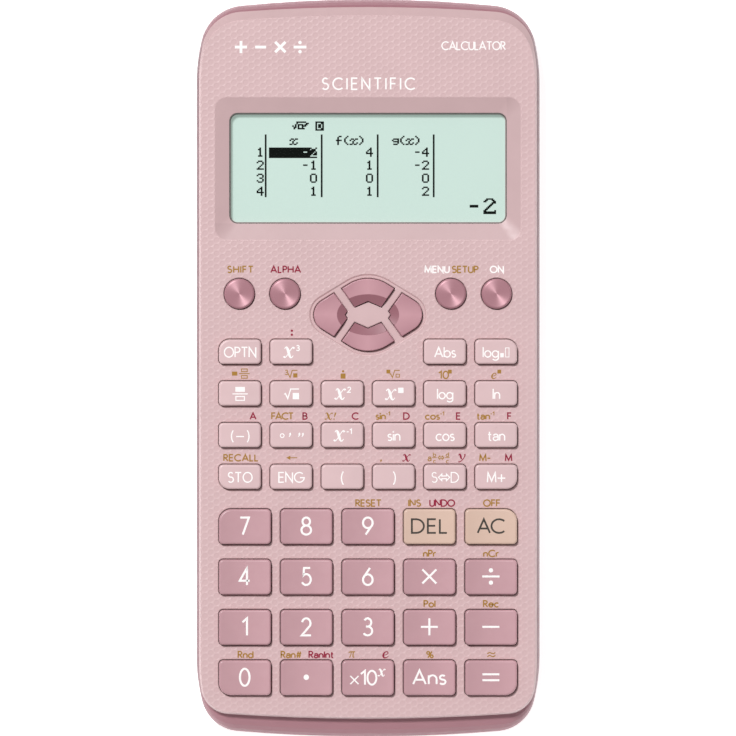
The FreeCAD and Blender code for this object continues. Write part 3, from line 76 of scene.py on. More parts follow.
class Graph:
    """A material's node tree, with one method for each kind of node used here."""

    def __init__(self, name):
        self.material = bpy.data.materials.new(name)
        self.material.use_nodes = True
        self.tree = self.material.node_tree
        self.shader = self.tree.nodes["Principled BSDF"]
        self.output = self.tree.nodes["Material Output"]
        self._coordinates = None

    def node(self, kind, inputs=(), **settings):
        made = self.tree.nodes.new(kind)
        for key, value in settings.items():
            setattr(made, key, value)
        for key, value in dict(inputs).items():
            self.put(made.inputs[key], value)
        return made

    def put(self, socket, value):
        """Link a socket to another node's output, or set its value."""
        if isinstance(value, bpy.types.NodeSocket):
            self.tree.links.new(value, socket)
        else:
            socket.default_value = value

    def set(self, **values):
        """Set the Principled shader's sockets, with spaces in names written as underscores."""
        for key, value in values.items():
            self.put(self.shader.inputs[key.replace("_", " ")], value)

    @property
    def place(self):
        """Position on the part at rest, which rides with a moving part."""
        if self._coordinates is None:
            self._coordinates = self.node("ShaderNodeTexCoord").outputs["Object"]
        return self._coordinates

    def axis(self, name, vector=None):
        split = self.node("ShaderNodeSeparateXYZ", {"Vector": vector or self.place})
        return split.outputs[name]

    def math(self, operation, first, second=0.0, third=None, clamp=False):
        made = self.node("ShaderNodeMath", {0: first, 1: second}, operation=operation, use_clamp=clamp)
        if third is not None:
            self.put(made.inputs[2], third)
        return made.outputs[0]

    def above(self, value, edge, soft=0.00002):
        """1 where value is over edge, 0 where it is under, with a soft step between."""
        made = self.node("ShaderNodeMapRange", {"Value": value, "From Min": edge - soft,
                                                "From Max": edge + soft}, interpolation_type="SMOOTHSTEP")
        return made.outputs["Result"]

    def within(self, value, low, high, soft=0.00002):
        return self.math("MULTIPLY", self.above(value, low, soft), self.under(value, high, soft))

    def noise(self, size, detail=2.0, roughness=0.5, vector=None):
        """Noise from 0 to 1 whose blotches are about that many metres across."""
        made = self.node("ShaderNodeTexNoise", {"Vector": vector or self.place, "Scale": 1 / size,
                                                "Detail": detail, "Roughness": roughness})
        return made.outputs["Fac"]

    def blend(self, amount, first, second, mode="MIX"):
        made = self.node("ShaderNodeMix", data_type="RGBA", blend_type=mode)
        self.put(made.inputs[0], amount)
        self.put(made.inputs[6], first)
        self.put(made.inputs[7], second)
        return made.outputs[2]

    def stretch(self, value, low, high, new_low, new_high):
        made = self.node("ShaderNodeMapRange", {"Value": value, "From Min": low, "From Max": high,
                                                "To Min": new_low, "To Max": new_high})
        return made.outputs["Result"]

    def bump(self, height, depth, strength=1.0, normal=None):
        """Bump whose height, 0 to 1, stands for that many metres."""
        made = self.node("ShaderNodeBump", {"Height": height, "Distance": depth, "Strength": strength})
        if normal is not None:
            self.put(made.inputs["Normal"], normal)
        return made.outputs["Normal"]

    def fine(self, size, low, high):
        """A value that drifts from low to high in fine-grained blotches."""
        return self.stretch(self.noise(size, 3.0), 0.3, 0.7, low, high)

    def broad(self, size, low, high):
        """A value that drifts from low to high in softer blotches."""
        return self.stretch(self.noise(size, 2.0), 0.0, 1.0, low, high)

    def fix(self, **values):
        """Set sockets of the shader to constants."""
        for key, value in values.items():
            self.shader.inputs[key.replace("_", " ")].default_value = value

    def under(self, value, edge, soft=0.00002):
        """1 where value is under edge, 0 where it is over."""
        return self.math("SUBTRACT", 1.0, self.above(value, edge, soft))

    def product(self, *values):
        result = values[0]
        for value in values[1:]:
            result = self.math("MULTIPLY", result, value)
        return result

    def tinted(self, colour, spread, size):
        """A colour that drifts a little lighter and darker over the surface."""
        darker = tuple(channel * (1 - spread) for channel in colour[:3]) + (1.0,)
        lighter = tuple(min(channel * (1 + spread), 1.0) for channel in colour[:3]) + (1.0,)
        return self.blend(self.fine(size, 0.0, 1.0), darker, lighter)


def emboss(graph, pitch):
    """The raised ground, 1, between small round dimples, 0, on a triangular grid."""
    x, y = graph.axis("X"), graph.axis("Y")
    waves = []
    for turn in (0, 60, 120):
        angle = math.radians(turn)
        along = graph.math("ADD", graph.math("MULTIPLY", x, 2 * math.pi * math.cos(angle) / pitch),
                           graph.math("MULTIPLY", y, 2 * math.pi * math.sin(angle) / pitch))
        waves.append(graph.math("COSINE", along))
    total = graph.math("ADD", graph.math("ADD", waves[0], waves[1]), waves[2])
    return graph.under(total, -0.75, 0.5)


# ---- materials

PANEL = srgb(205, 174, 176)
PANEL_HIGHLIGHT = srgb(240, 214, 214)
EMBOSS_PITCH = 1.3 * MM
# Rim colours with painted shade at the display end and painted light at the other end.
RIM_TOP_PAINTED_SHADE, RIM_BOTTOM_PAINTED_LIGHT = srgb(148, 103, 112), srgb(176, 129, 138)
BIG_KEY = srgb(191, 149, 156)
SMALL_KEY = srgb(213, 183, 185)
CREAM_KEY = srgb(210, 180, 164)
ROUND_KEY = srgb(172, 122, 132)
CURSOR_KEY = srgb(194, 146, 155)
CURSOR_SLOPE_PAINTED_SHADE = srgb(150, 100, 110)
GOLD_INK = srgb(160, 117, 42)
RED_INK = srgb(140, 2, 48)
WHITE_INK = srgb(248, 244, 243)
GREY_INK = srgb(60, 54, 48)
CRYSTAL_INK = srgb(8, 12, 10)


def rounded_edge(graph, node, corner):
    """Distance inside a rounded rectangular outline, in metres, from 0 at its edge."""
    low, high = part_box(node)
    beyond = []
    for name, near, far in (("X", low.x, high.x), ("Y", low.y, high.y)):
        offset = graph.math("ABSOLUTE", graph.math("SUBTRACT", graph.axis(name), (near + far) / 2))
        beyond.append(graph.math("MAXIMUM", graph.math("SUBTRACT", offset, (far - near) / 2 - corner), 0.0))
    squares = graph.math("ADD", graph.math("POWER", beyond[0], 2.0), graph.math("POWER", beyond[1], 2.0))
    return graph.math("SUBTRACT", corner, graph.math("SQRT", squares))


def darkened(graph, colour, amount, shade):
    """The colour times shade where amount is 1."""
    return graph.blend(amount, colour, (shade, shade, shade, 1.0), "MULTIPLY")


def panel_material():
    """Pale plastic with an embossed top and smooth slopes; painted shade darkens the far top slope and the
    display bezel, and painted highlights lighten the raised emboss and the edges round the openings.
    """
    graph = Graph("panel_emboss")
    low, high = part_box("front_case")
    window_low, window_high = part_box("display_window")
    x, y, z = graph.axis("X"), graph.axis("Y"), graph.axis("Z")
    on_top = graph.above(z, high.z - 0.05 * MM)
    off_top = graph.math("SUBTRACT", 1.0, on_top)
    in_bezel = graph.math("MULTIPLY", graph.within(x, window_low.x - 4 * MM, window_high.x + 4 * MM),
                          graph.within(y, window_low.y - 4.5 * MM, window_high.y + 4.5 * MM))
    ground = graph.product(emboss(graph, EMBOSS_PITCH), on_top)
    height = graph.math("ADD", ground, graph.product(graph.noise(0.0003, 2.0), 0.15))
    # Painted highlight: the raised ground of the emboss is painted a little lighter, standing in for the
    # light it catches.
    colour = graph.blend(graph.product(ground, 0.11), graph.tinted(PANEL, 0.02, 0.008), PANEL_HIGHLIGHT)
    # Painted shade: the sloped band along the far top end is painted darker.
    far_slope_painted_shade = graph.product(off_top, graph.above(y, high.y - 12 * MM, 0.004),
                              graph.math("SUBTRACT", 1.0, in_bezel))
    colour = darkened(graph, colour, far_slope_painted_shade, 0.86)
    # Painted shade: the display bezel's slopes are painted darker, and its bottom and right slopes, which
    # face the light, darker still.
    bezel_painted_shade = graph.product(off_top, in_bezel)
    colour = darkened(graph, colour, bezel_painted_shade, 0.94)
    lit_sides_painted_shade = graph.math("MAXIMUM", graph.under(y, window_low.y), graph.above(x, window_high.x))
    colour = darkened(graph, colour, graph.product(bezel_painted_shade, lit_sides_painted_shade), 0.94)
    # Painted highlight: the chamfers round the key openings and round the cursor pad's openings are painted
    # lighter.
    edge = graph.product(graph.within(z, high.z - 0.145 * MM, high.z - 0.01 * MM, 0.00001),
                         graph.within(x, low.x + 2.5 * MM, high.x - 2.5 * MM),
                         graph.under(y, window_low.y - 6 * MM))
    pad_edge_painted_highlight = graph.product(graph.within(x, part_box("cursor_left")[0].x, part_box("cursor_right")[1].x),
                             graph.within(y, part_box("cursor_down")[0].y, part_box("cursor_up")[1].y),
                             graph.within(z, high.z - 0.495 * MM, high.z - 0.36 * MM, 0.00001))
    colour = graph.blend(graph.product(graph.math("MAXIMUM", edge, pad_edge_painted_highlight), 0.7), colour, PANEL_HIGHLIGHT)
    graph.set(Base_Color=colour,
              Roughness=graph.fine(0.002, 0.38, 0.48),
              Normal=graph.bump(height, 0.000028))
    graph.fix(Specular_IOR_Level=0.35)
    return graph.material


def shell_material():
    """Darker satin plastic, with painted shade towards the display end, painted light towards the other
    end, and painted shade on the side rims.
    """
    graph = Graph("shell_satin")
    low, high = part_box("rear_case")
    # Painted light and shade: the rim is painted lighter towards the bottom end and darker towards the
    # display end.
    along = graph.stretch(graph.axis("Y"), low.y, high.y, 0.0, 1.0)
    drift = graph.fine(0.006, -0.06, 0.06)
    colour = graph.blend(graph.math("ADD", along, drift, clamp=True), RIM_BOTTOM_PAINTED_LIGHT, RIM_TOP_PAINTED_SHADE)
    # Painted shade: the side rims are painted darker.
    middle = graph.within(graph.axis("X"), low.x + 1.6 * MM, high.x - 1.6 * MM, 1.4 * MM)
    sides_painted_shade = graph.math("SUBTRACT", 1.0, middle)
    graph.set(Base_Color=darkened(graph, colour, sides_painted_shade, 0.62),
              Roughness=graph.fine(0.0015, 0.38, 0.48),
              Normal=graph.bump(graph.noise(0.0004, 2.0), 0.000006))
    graph.fix(Specular_IOR_Level=0.35)
    return graph.material


def key_material_with_painted_shade(name, colour, pitch, shift, left, right, roughness=0.36):
    """Moulded keys with painted shade: each key is painted darker on one side and lighter on the other,
    standing in for the light on a dished top.
    """
    graph = Graph(name)
    across = graph.math("FRACT", graph.math("ADD", graph.math("DIVIDE", graph.axis("X"), pitch), shift))
    # Painted shade and light across each key, from the left factor to the right factor.
    shade = graph.stretch(across, 0.1, 0.9, left, right)
    level = graph.node("ShaderNodeCombineXYZ", {"X": shade, "Y": shade, "Z": shade}).outputs["Vector"]
    graph.set(Base_Color=graph.blend(1.0, graph.tinted(colour, 0.02, 0.005), level, "MULTIPLY"),
              Roughness=graph.fine(0.0015, roughness - 0.05, roughness + 0.05),
              Normal=graph.bump(graph.noise(0.00035, 2.0), 0.000003))
    graph.fix(Specular_IOR_Level=0.4)
    return graph.material


def round_key_material(name, node):
    """Spun finish: fine rings about the key's middle and gloss that fans out across them, with a painted
    highlight fan in the colour as well.
    """
    graph = Graph(name)
    low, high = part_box(node)
    middle = (low + high) / 2
    moved = graph.node("ShaderNodeMapping", {"Vector": graph.place,
                                             "Location": (-middle.x, -middle.y, 0.0)}).outputs["Vector"]
    flat = graph.node("ShaderNodeVectorMath", {0: moved, 1: (1.0, 1.0, 0.0)}, operation="MULTIPLY")
    length = graph.node("ShaderNodeVectorMath", {0: flat.outputs["Vector"]}, operation="LENGTH")
    radius = length.outputs["Value"]
    rings = graph.noise(1.0, 3.0, vector=graph.node(
        "ShaderNodeCombineXYZ", {"X": graph.math("DIVIDE", radius, 0.00012)}).outputs["Vector"])
    spin = graph.node("ShaderNodeMath", {0: graph.axis("Y", moved), 1: graph.axis("X", moved)},
                      operation="ARCTAN2").outputs[0]
    # Painted highlight: a fan of lighter colour through the middle, from upper left to lower right.
    painted_fan_highlight = graph.math("POWER", graph.math("ABSOLUTE", graph.math(
        "COSINE", graph.math("SUBTRACT", spin, math.radians(114)))), 14.0)
    ring_tone = graph.stretch(rings, 0.3, 0.7, 0.0, 0.10)
    geometry = graph.node("ShaderNodeNewGeometry")
    on_dish = graph.within(radius, -1.0, (high.x - low.x) / 2 - 0.85 * MM, 0.0001)
    flat_way = graph.node("ShaderNodeMix", data_type="VECTOR")
    graph.put(flat_way.inputs[0], graph.math("MULTIPLY", on_dish, 0.75))
    graph.put(flat_way.inputs[4], geometry.outputs["Normal"])
    graph.put(flat_way.inputs[5], (0.0, 0.0, 1.0))
    # The rings' tone and the painted highlight fan both lighten towards this pale colour.
    graph.set(Base_Color=graph.blend(graph.math("ADD", ring_tone, graph.math("MULTIPLY", painted_fan_highlight, 0.08)),
                                     ROUND_KEY, srgb(228, 184, 194)),
              Roughness=graph.stretch(rings, 0.3, 0.7, 0.36, 0.44),
              Normal=graph.bump(rings, 0.000003, normal=flat_way.outputs[1]),
              Tangent=graph.node("ShaderNodeTangent", direction_type="RADIAL", axis="Z").outputs["Tangent"])
    graph.fix(Anisotropic=0.8, Anisotropic_Rotation=0.25, Metallic=0.2)
    return graph.material


def cursor_material():
    """Smooth petals with painted light and shade: lighter towards their middles, and painted darker on the
    slope they share.
    """
    graph = Graph("cursor_petal")
    middle = (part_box("cursor_left")[0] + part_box("cursor_right")[1]) / 2
    x = graph.math("SUBTRACT", graph.axis("X"), middle.x)
    y = graph.math("SUBTRACT", graph.axis("Y"), middle.y)
    # Painted shade: the inner slope inside this oval is painted darker.
    oval = graph.math("ADD", graph.math("POWER", graph.math("DIVIDE", x, 6.95 * MM), 2.0),
                      graph.math("POWER", graph.math("DIVIDE", y, 4.6 * MM), 2.0))
    slope_painted_shade = graph.under(oval, 1.0, 0.02)
    # Painted shade: each petal is painted darker away from its middle.
    spread = graph.product(graph.math("ABSOLUTE", x), graph.math("ABSOLUTE", y))
    side = graph.stretch(spread, 0.0, 0.00003, 0.0, 0.6)
    colour = graph.blend(side, graph.tinted(CURSOR_KEY, 0.02, 0.004), srgb(168, 120, 130))
    graph.set(Base_Color=graph.blend(slope_painted_shade, colour, CURSOR_SLOPE_PAINTED_SHADE),
              Roughness=graph.fine(0.0015, 0.30, 0.38),
              Normal=graph.bump(graph.noise(0.0004, 2.0), 0.000002))
    graph.fix(Specular_IOR_Level=0.35)
    return graph.material


def display_material():
    """The glass sandwich's pale field inside a dark holder, told apart by place; the field glows with
    painted light, though the display has no lamp of its own.
    """
    graph = Graph("display_cell")
    low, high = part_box("display_window")
    x, y, z = graph.axis("X"), graph.axis("Y"), graph.axis("Z")
    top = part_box("display_module")[1].z
    glass = graph.product(graph.within(x, low.x - 1.6 * MM, high.x + 1.6 * MM),
                          graph.within(y, low.y - 1.4 * MM, high.y + 1.4 * MM),
                          graph.above(z, top - 1.2 * MM))
    field = graph.blend(graph.noise(0.02, 2.0), srgb(166, 178, 175), srgb(170, 181, 178))
    # Painted light: the pale field glows faintly, which lightens the shade the bezel casts on it.
    graph.fix(Emission_Color=srgb(203, 226, 216))
    graph.set(Base_Color=graph.blend(glass, srgb(60, 60, 62), field),
              Emission_Strength=graph.math("MULTIPLY", glass, 0.38),
              Roughness=graph.broad(0.0006, 0.4, 0.5),
              Normal=graph.bump(graph.noise(0.0002, 1.0), 0.000002))
    return graph.material


def window_material():
    """A clear pane: see-through, with a faint gloss and a printed grey line round its edge."""
    graph = Graph("clear_pane")
    line = graph.under(rounded_edge(graph, "display_window", 1.85 * MM), 0.20 * MM, 0.00005)
    graph.set(Base_Color=graph.blend(line, srgb(70, 78, 74), srgb(118, 120, 116)),
              Roughness=graph.broad(0.003, 0.06, 0.12),
              Normal=graph.bump(graph.noise(0.004, 2.0), 0.000001))
    clear = graph.node("ShaderNodeBsdfTransparent", {"Color": (0.98, 1.0, 0.99, 1.0)})
    gloss = graph.node("ShaderNodeFresnel", {"IOR": 1.35}).outputs["Fac"]
    amount = graph.math("MAXIMUM", graph.product(gloss, 0.4), graph.product(line, 0.7), clamp=True)
    mixed = graph.node("ShaderNodeMixShader", {0: amount, 1: clear.outputs[0], 2: graph.shader.outputs[0]})
    graph.put(graph.output.inputs["Surface"], mixed.outputs[0])
    return graph.material


def board_material():
    """Green solder mask with copper runs, dark parts below and bright metal contacts."""
    graph = Graph("circuit_board")
    y, z = graph.axis("Y"), graph.axis("Z")
    runs = graph.node("ShaderNodeTexBrick", {"Vector": graph.place, "Scale": 1.0, "Mortar Size": 0.00012,
                                             "Brick Width": 0.0042, "Row Height": 0.0011})
    mask = graph.blend(runs.outputs["Fac"], srgb(26, 92, 58), srgb(66, 140, 92))
    beneath = graph.under(z, 5.38 * MM)
    parts = graph.blend(beneath, mask, srgb(34, 34, 38))
    metal = graph.math("MAXIMUM", graph.above(y, 62.0 * MM), graph.above(z, 6.62 * MM))
    graph.set(Base_Color=graph.blend(metal, parts, srgb(196, 194, 188)),
              Metallic=metal,
              Roughness=graph.broad(0.0008, 0.28, 0.45),
              Normal=graph.bump(runs.outputs["Fac"], 0.00002, 0.6))
    return graph.material


def cell_material():
    """A plain two-band wrap with bare metal ends."""
    graph = Graph("battery_wrap")
    low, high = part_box("battery_cell")
    x = graph.axis("X")
    band = graph.above(x, low.x + (high.x - low.x) * 0.72, 0.0001)
    ends = graph.math("SUBTRACT", 1.0, graph.within(x, low.x + 0.6 * MM, high.x - 1.4 * MM))
    wrap = graph.blend(band, srgb(58, 74, 88), srgb(198, 150, 84))
    graph.set(Base_Color=graph.blend(ends, wrap, srgb(200, 200, 202)), Metallic=ends,
              Roughness=graph.broad(0.001, 0.22, 0.36),
              Normal=graph.bump(graph.noise(0.0006, 2.0), 0.000004))
    return graph.material


def metal_material(name, colour):
    graph = Graph(name)
    graph.set(Base_Color=graph.tinted(colour, 0.05, 0.002),
              Roughness=graph.fine(0.0004, 0.24, 0.4),
              Normal=graph.bump(graph.noise(0.00015, 2.0), 0.000004))
    graph.fix(Metallic=1.0)
    return graph.material


def ink_material(name, colour, specular=0.3):
    """Screen-printed ink, with the faint unevenness of its mesh."""
    graph = Graph(name)
    graph.fix(Specular_IOR_Level=specular)
    graph.set(Base_Color=graph.tinted(colour, 0.03, 0.0007),
              Roughness=graph.broad(0.0005, 0.42, 0.55),
              Normal=graph.bump(graph.noise(0.00012, 1.0), 0.000002))
    return graph.material


def rubber_material():
    """Pale silicone rubber with a fine eggshell grain."""
    graph = Graph("rubber_mat")
    graph.set(Base_Color=graph.tinted(srgb(214, 210, 206), 0.02, 0.006),
              Roughness=graph.fine(0.0015, 0.60, 0.70),
              Normal=graph.bump(graph.noise(0.0006, 2.0), 0.00001))
    return graph.material


def dress(node, material):
    for slot in nodes[node].material_slots:
        slot.material = material


SLOT_MATERIAL = {
    "panel": panel_material(),
    "shell": shell_material(),
    "window": window_material(),
    "display": display_material(),
    "board": board_material(),
    "mat": rubber_material(),
    "cell": cell_material(),
    "screw": metal_material("zinc_steel", srgb(176, 174, 170)),
    "key_light": key_material_with_painted_shade("key_light", SMALL_KEY, 11.45 * MM, 1.0, 1.03, 0.96),
    "key_dark": key_material_with_painted_shade("key_dark", BIG_KEY, 13.75 * MM, 0.5, 0.93, 1.05, 0.34),
    "key_cream": key_material_with_painted_shade("key_cream", CREAM_KEY, 13.75 * MM, 0.5, 0.98, 1.02),
    "key_cursor": cursor_material(),
}
for name, part in nodes.items():
    slot_name = part.material_slots[0].material.name.split(".")[0]
    if slot_name == "key_round":
        dress(name, round_key_material("spun_" + name, name))
    elif slot_name in SLOT_MATERIAL:
        dress(name, SLOT_MATERIAL[slot_name])

INK = {
    "white": ink_material("ink_white", WHITE_INK),
    "gold": ink_material("ink_gold", GOLD_INK),
    "red": ink_material("ink_red", RED_INK),
    "grey": ink_material("ink_grey", GREY_INK),
}


# ---- lettering as strokes
#
# A glyph is its width and its strokes, in units of the capital height. A stroke is a list whose
# entries are points (x, y) and arcs (middle x, middle y, radius x, radius y, start, end), in
# degrees, and RING for a full turn. A "pen" stroke is a smooth curve through (x, y, weight).

BOWL = [(0.31, 0.32, 0.31, 0.32, 90, 450)]
GLYPHS = {
    "A": (0.80, [[(0, 0), (0.4, 1), (0.8, 0)], [(0.13, 0.32), (0.67, 0.32)]]),
    "B": (0.56, [[(0, 0.53), (0.26, 0.53), (0.26, 0.265, 0.29, 0.265, 90, -90), (0, 0), (0, 1),
                  (0.25, 1), (0.25, 0.765, 0.24, 0.235, 90, -90)]]),
    "C": (0.83, [[(0.5, 0.5, 0.5, 0.5, 47, 313)]]),
    "D": (0.75, [[(0, 0.5), (0, 1), (0.26, 1), (0.26, 0.5, 0.49, 0.5, 90, -90), (0, 0), (0, 0.5)]]),
    "E": (0.50, [[(0.5, 1), (0, 1), (0, 0), (0.5, 0)], [(0, 0.52), (0.46, 0.52)]]),
    "F": (0.47, [[(0.47, 1), (0, 1), (0, 0)], [(0, 0.51), (0.43, 0.51)]]),
    "G": (0.96, [[(0.5, 0.5, 0.5, 0.5, 47, 356), (0.56, 0.47)]]),
    "H": (0.68, [[(0, 0), (0, 1)], [(0.68, 0), (0.68, 1)], [(0, 0.52), (0.68, 0.52)]]),
    "I": (0.0, [[(0, 0), (0, 1)]]),
    "L": (0.44, [[(0, 1), (0, 0), (0.44, 0)]]),
    "M": (0.86, [[(0, 0), (0.06, 1), (0.43, 0.12), (0.8, 1), (0.86, 0)]]),
    "N": (0.68, [[(0, 0), (0, 1), (0.68, 0), (0.68, 1)]]),
    "O": (0.92, [[(0.46, 0.5, 0.46, 0.5, 90, 450)]]),
    "P": (0.48, [[(0, 0), (0, 1), (0.22, 1), (0.22, 0.74, 0.27, 0.26, 90, -90), (0, 0.48)]]),
    "R": (0.52, [[(0, 0), (0, 1), (0.22, 1), (0.22, 0.75, 0.26, 0.25, 90, -90), (0, 0.5)],
                 [(0.18, 0.5), (0.54, 0)]]),
    "S": (0.54, [[(0.27, 0.76, 0.23, 0.24, 35, 262), (0.27, 0.265, 0.27, 0.265, 78, -145)]]),
    "T": (0.62, [[(0, 1), (0.62, 1)], [(0.31, 1), (0.31, 0)]]),
    "U": (0.62, [[(0, 1), (0.31, 0.31, 0.31, 0.31, 180, 360), (0.62, 1)]]),
    "a": (0.50, [[(0.03, 0.50), (0.26, 0.43, 0.24, 0.22, 140, 0), (0.50, 0)],
                 [(0.50, 0.38), (0.24, 0.37), (0.22, 0.19, 0.21, 0.19, 100, 270), (0.30, 0.01),
                  (0.50, 0.15)]]),
    "b": (0.62, [[(0, 1.02), (0, 0)], BOWL]),
    "c": (0.53, [[(0.31, 0.32, 0.31, 0.32, 47, 313)]]),
    "d": (0.62, [[(0.62, 1.02), (0.62, 0)], BOWL]),
    "e": (0.60, [[(0.02, 0.35), (0.60, 0.35), (0.31, 0.32, 0.29, 0.32, 5, 318)]]),
    "f": (0.30, [[(0.36, 0.98), (0.28, 0.78, 0.16, 0.2, 70, 180), (0.12, 0)], [(0, 0.62), (0.32, 0.62)]]),
    "g": (0.62, [BOWL, [(0.62, 0.64), (0.31, -0.06, 0.31, 0.26, 0, -148)]]),
    "i": (0.0, [[(0, 0.64), (0, 0)], ("dot", 0, 0.88, 0.085)]),
    "l": (0.0, [[(0, 1.02), (0, 0)]]),
    "n": (0.50, [[(0, 0.64), (0, 0)], [(0, 0.34), (0.25, 0.38, 0.25, 0.26, 175, 0), (0.50, 0)]]),
    "o": (0.62, [BOWL]),
    "r": (0.28, [[(0, 0.64), (0, 0)], [(0, 0.34), (0.24, 0.38, 0.24, 0.26, 175, 68)]]),
    "s": (0.38, [[(0.19, 0.485, 0.165, 0.155, 35, 262), (0.19, 0.165, 0.19, 0.165, 78, -145)]]),
    "t": (0.34, [[(0.13, 0.9), (0.13, 0.16), (0.27, 0.15, 0.14, 0.14, 180, 290)],
                 [(0, 0.62), (0.32, 0.62)]]),
    "0": (0.64, [[(0.32, 0.5, 0.32, 0.5, 90, 450)]]),
    "1": (0.36, [[(0.03, 0.77), (0.33, 1.0), (0.33, 0)]]),
    "2": (0.60, [[(0.30, 0.71, 0.28, 0.29, 168, -32), (0.0, 0.0), (0.62, 0.0)]]),
    "3": (0.58, [[(0.28, 0.76, 0.24, 0.24, 150, -90), (0.17, 0.52)],
                 [(0.17, 0.52), (0.28, 0.26, 0.30, 0.26, 90, -150)]]),
    "4": (0.66, [[(0.48, 0), (0.48, 1), (0.0, 0.25), (0.66, 0.25)]]),
    "5": (0.60, [[(0.56, 1), (0.15, 1), (0.11, 0.56), (0.29, 0.32, 0.31, 0.32, 120, -150)]]),
    "6": (0.64, [[(0.32, 0.31, 0.32, 0.31, 90, 450)], [(0.46, 1), (0.045, 0.455)]]),
    "7": (0.60, [[(0.0, 1), (0.58, 1), (0.17, 0)]]),
    "8": (0.64, [[(0.32, 0.765, 0.25, 0.235, -90, 270)], [(0.32, 0.265, 0.32, 0.265, 90, 450)]]),
    "9": (0.64, [[(0.32, 0.69, 0.32, 0.31, 90, 450)], [(0.18, 0), (0.595, 0.545)]]),
    "(": (0.24, [[(0.62, 0.44, 0.60, 0.80, 137, 223)]]),
    ")": (0.24, [[(-0.36, 0.44, 0.60, 0.80, 43, -43)]]),
    "+": (0.80, [[(0, 0.42), (0.8, 0.42)], [(0.4, 0.82), (0.4, 0.02)]]),
    "-": (0.72, [[(0, 0.42), (0.72, 0.42)]]),
    "~": (0.40, [[(0, 0.42), (0.40, 0.42)]]),
    "*": (0.68, [[(0, 0.08), (0.68, 0.76)], [(0, 0.76), (0.68, 0.08)]]),
    "/": (0.84, [[(0, 0.42), (0.84, 0.42)], ("dot", 0.42, 0.72, 0.105), ("dot", 0.42, 0.12, 0.105)]),
    "=": (0.80, [[(0, 0.56), (0.8, 0.56)], [(0, 0.28), (0.8, 0.28)]]),
    ".": (0.0, [("dot", 0, 0.14, 0.16)]),
    ":": (0.0, [("dot", 0, 0.20, 0.16), ("dot", 0, 0.74, 0.16)]),
    ",": (0.14, [("pen", [(0.07, 0.22, 2.0), (0.13, 0.12, 1.5), (0.10, 0.0, 0.9), (0.02, -0.10, 0.4)])]),
    "#": (0.66, [[(0.12, 0), (0.26, 1)], [(0.40, 0), (0.54, 1)], [(0, 0.33), (0.60, 0.33)],
                 [(0.06, 0.67), (0.66, 0.67)]]),
    "%": (0.86, [[(0.70, 1), (0.16, 0)], [(0.19, 0.77, 0.19, 0.21, 90, 450)],
                 [(0.67, 0.23, 0.19, 0.21, 90, 450)]]),
    "<": (1.15, [[(0, 0.5), (0.34, 0.84), (0.34, 0.64), (0.81, 0.64), (0.81, 0.84), (1.15, 0.5),
                  (0.81, 0.16), (0.81, 0.36), (0.34, 0.36), (0.34, 0.16), (0, 0.5)]]),
    "x": (1.0, [("pen", [(0.12, 0.80, 0.7), (0.19, 0.93, 0.9), (0.30, 0.94, 1.5), (0.40, 0.74, 2.2),
                         (0.52, 0.33, 2.2), (0.62, 0.06, 1.6), (0.76, 0.02, 0.9), (0.90, 0.20, 0.6)]),
                ("pen", [(0.97, 0.82, 1.9), (0.92, 0.93, 1.3), (0.80, 0.90, 0.8), (0.62, 0.66, 0.7),
                         (0.40, 0.31, 0.7), (0.22, 0.06, 0.8), (0.10, 0.04, 1.3), (0.05, 0.14, 1.9)])]),
    "y": (0.96, [("pen", [(0.10, 0.76, 0.7), (0.18, 0.92, 1.0), (0.29, 0.90, 1.7), (0.36, 0.62, 2.2),
                          (0.44, 0.32, 1.7), (0.52, 0.18, 0.9)]),
                 ("pen", [(0.86, 0.94, 1.9), (0.92, 0.78, 1.3), (0.80, 0.45, 1.0), (0.56, 0.06, 0.9),
                          (0.26, -0.20, 0.9), (0.08, -0.18, 1.8)])]),
    "@": (0.86, [("pen", [(0.14, 0.42, 0.7), (0.46, 0.48, 0.8), (0.74, 0.70, 1.0), (0.66, 0.93, 1.1),
                          (0.42, 0.92, 1.1), (0.18, 0.66, 1.7), (0.10, 0.30, 2.1), (0.24, 0.03, 1.6),
                          (0.52, 0.04, 1.0), (0.80, 0.26, 0.6)])]),
    "p": (0.90, [("pen", [(0.02, 0.74, 0.7), (0.14, 0.92, 1.3), (0.40, 0.95, 1.5), (0.95, 0.97, 1.5)]),
                 ("pen", [(0.40, 0.92, 1.0), (0.33, 0.45, 1.1), (0.14, 0.02, 1.3)]),
                 ("pen", [(0.72, 0.94, 1.1), (0.64, 0.40, 1.6), (0.68, 0.06, 1.3), (0.86, 0.14, 0.7)])]),
    "!": (0.30, [("pen", [(0.26, 1.0, 2.0), (0.16, 0.62, 1.4), (0.10, 0.32, 0.7)]),
                 ("dot", 0.06, 0.07, 0.10)]),
}


def sweep(stroke):
    """A stroke's points as (x, y, weight)."""
    if isinstance(stroke, tuple):
        return smooth_pen(stroke[1])
    points = []
    for entry in stroke:
        if len(entry) == 2:
            points.append((entry[0], entry[1], 1.0))
            continue
        middle_x, middle_y, radius_x, radius_y, start, end = entry
        steps = max(4, int(abs(end - start) / 12))
        for step in range(steps + 1):
            angle = math.radians(start + (end - start) * step / steps)
            points.append((middle_x + radius_x * math.cos(angle),
                           middle_y + radius_y * math.sin(angle), 1.0))
    tidy = points[:1]
    for point in points[1:]:
        if math.dist(point[:2], tidy[-1][:2]) > 1e-4:
            tidy.append(point)
    return tidy


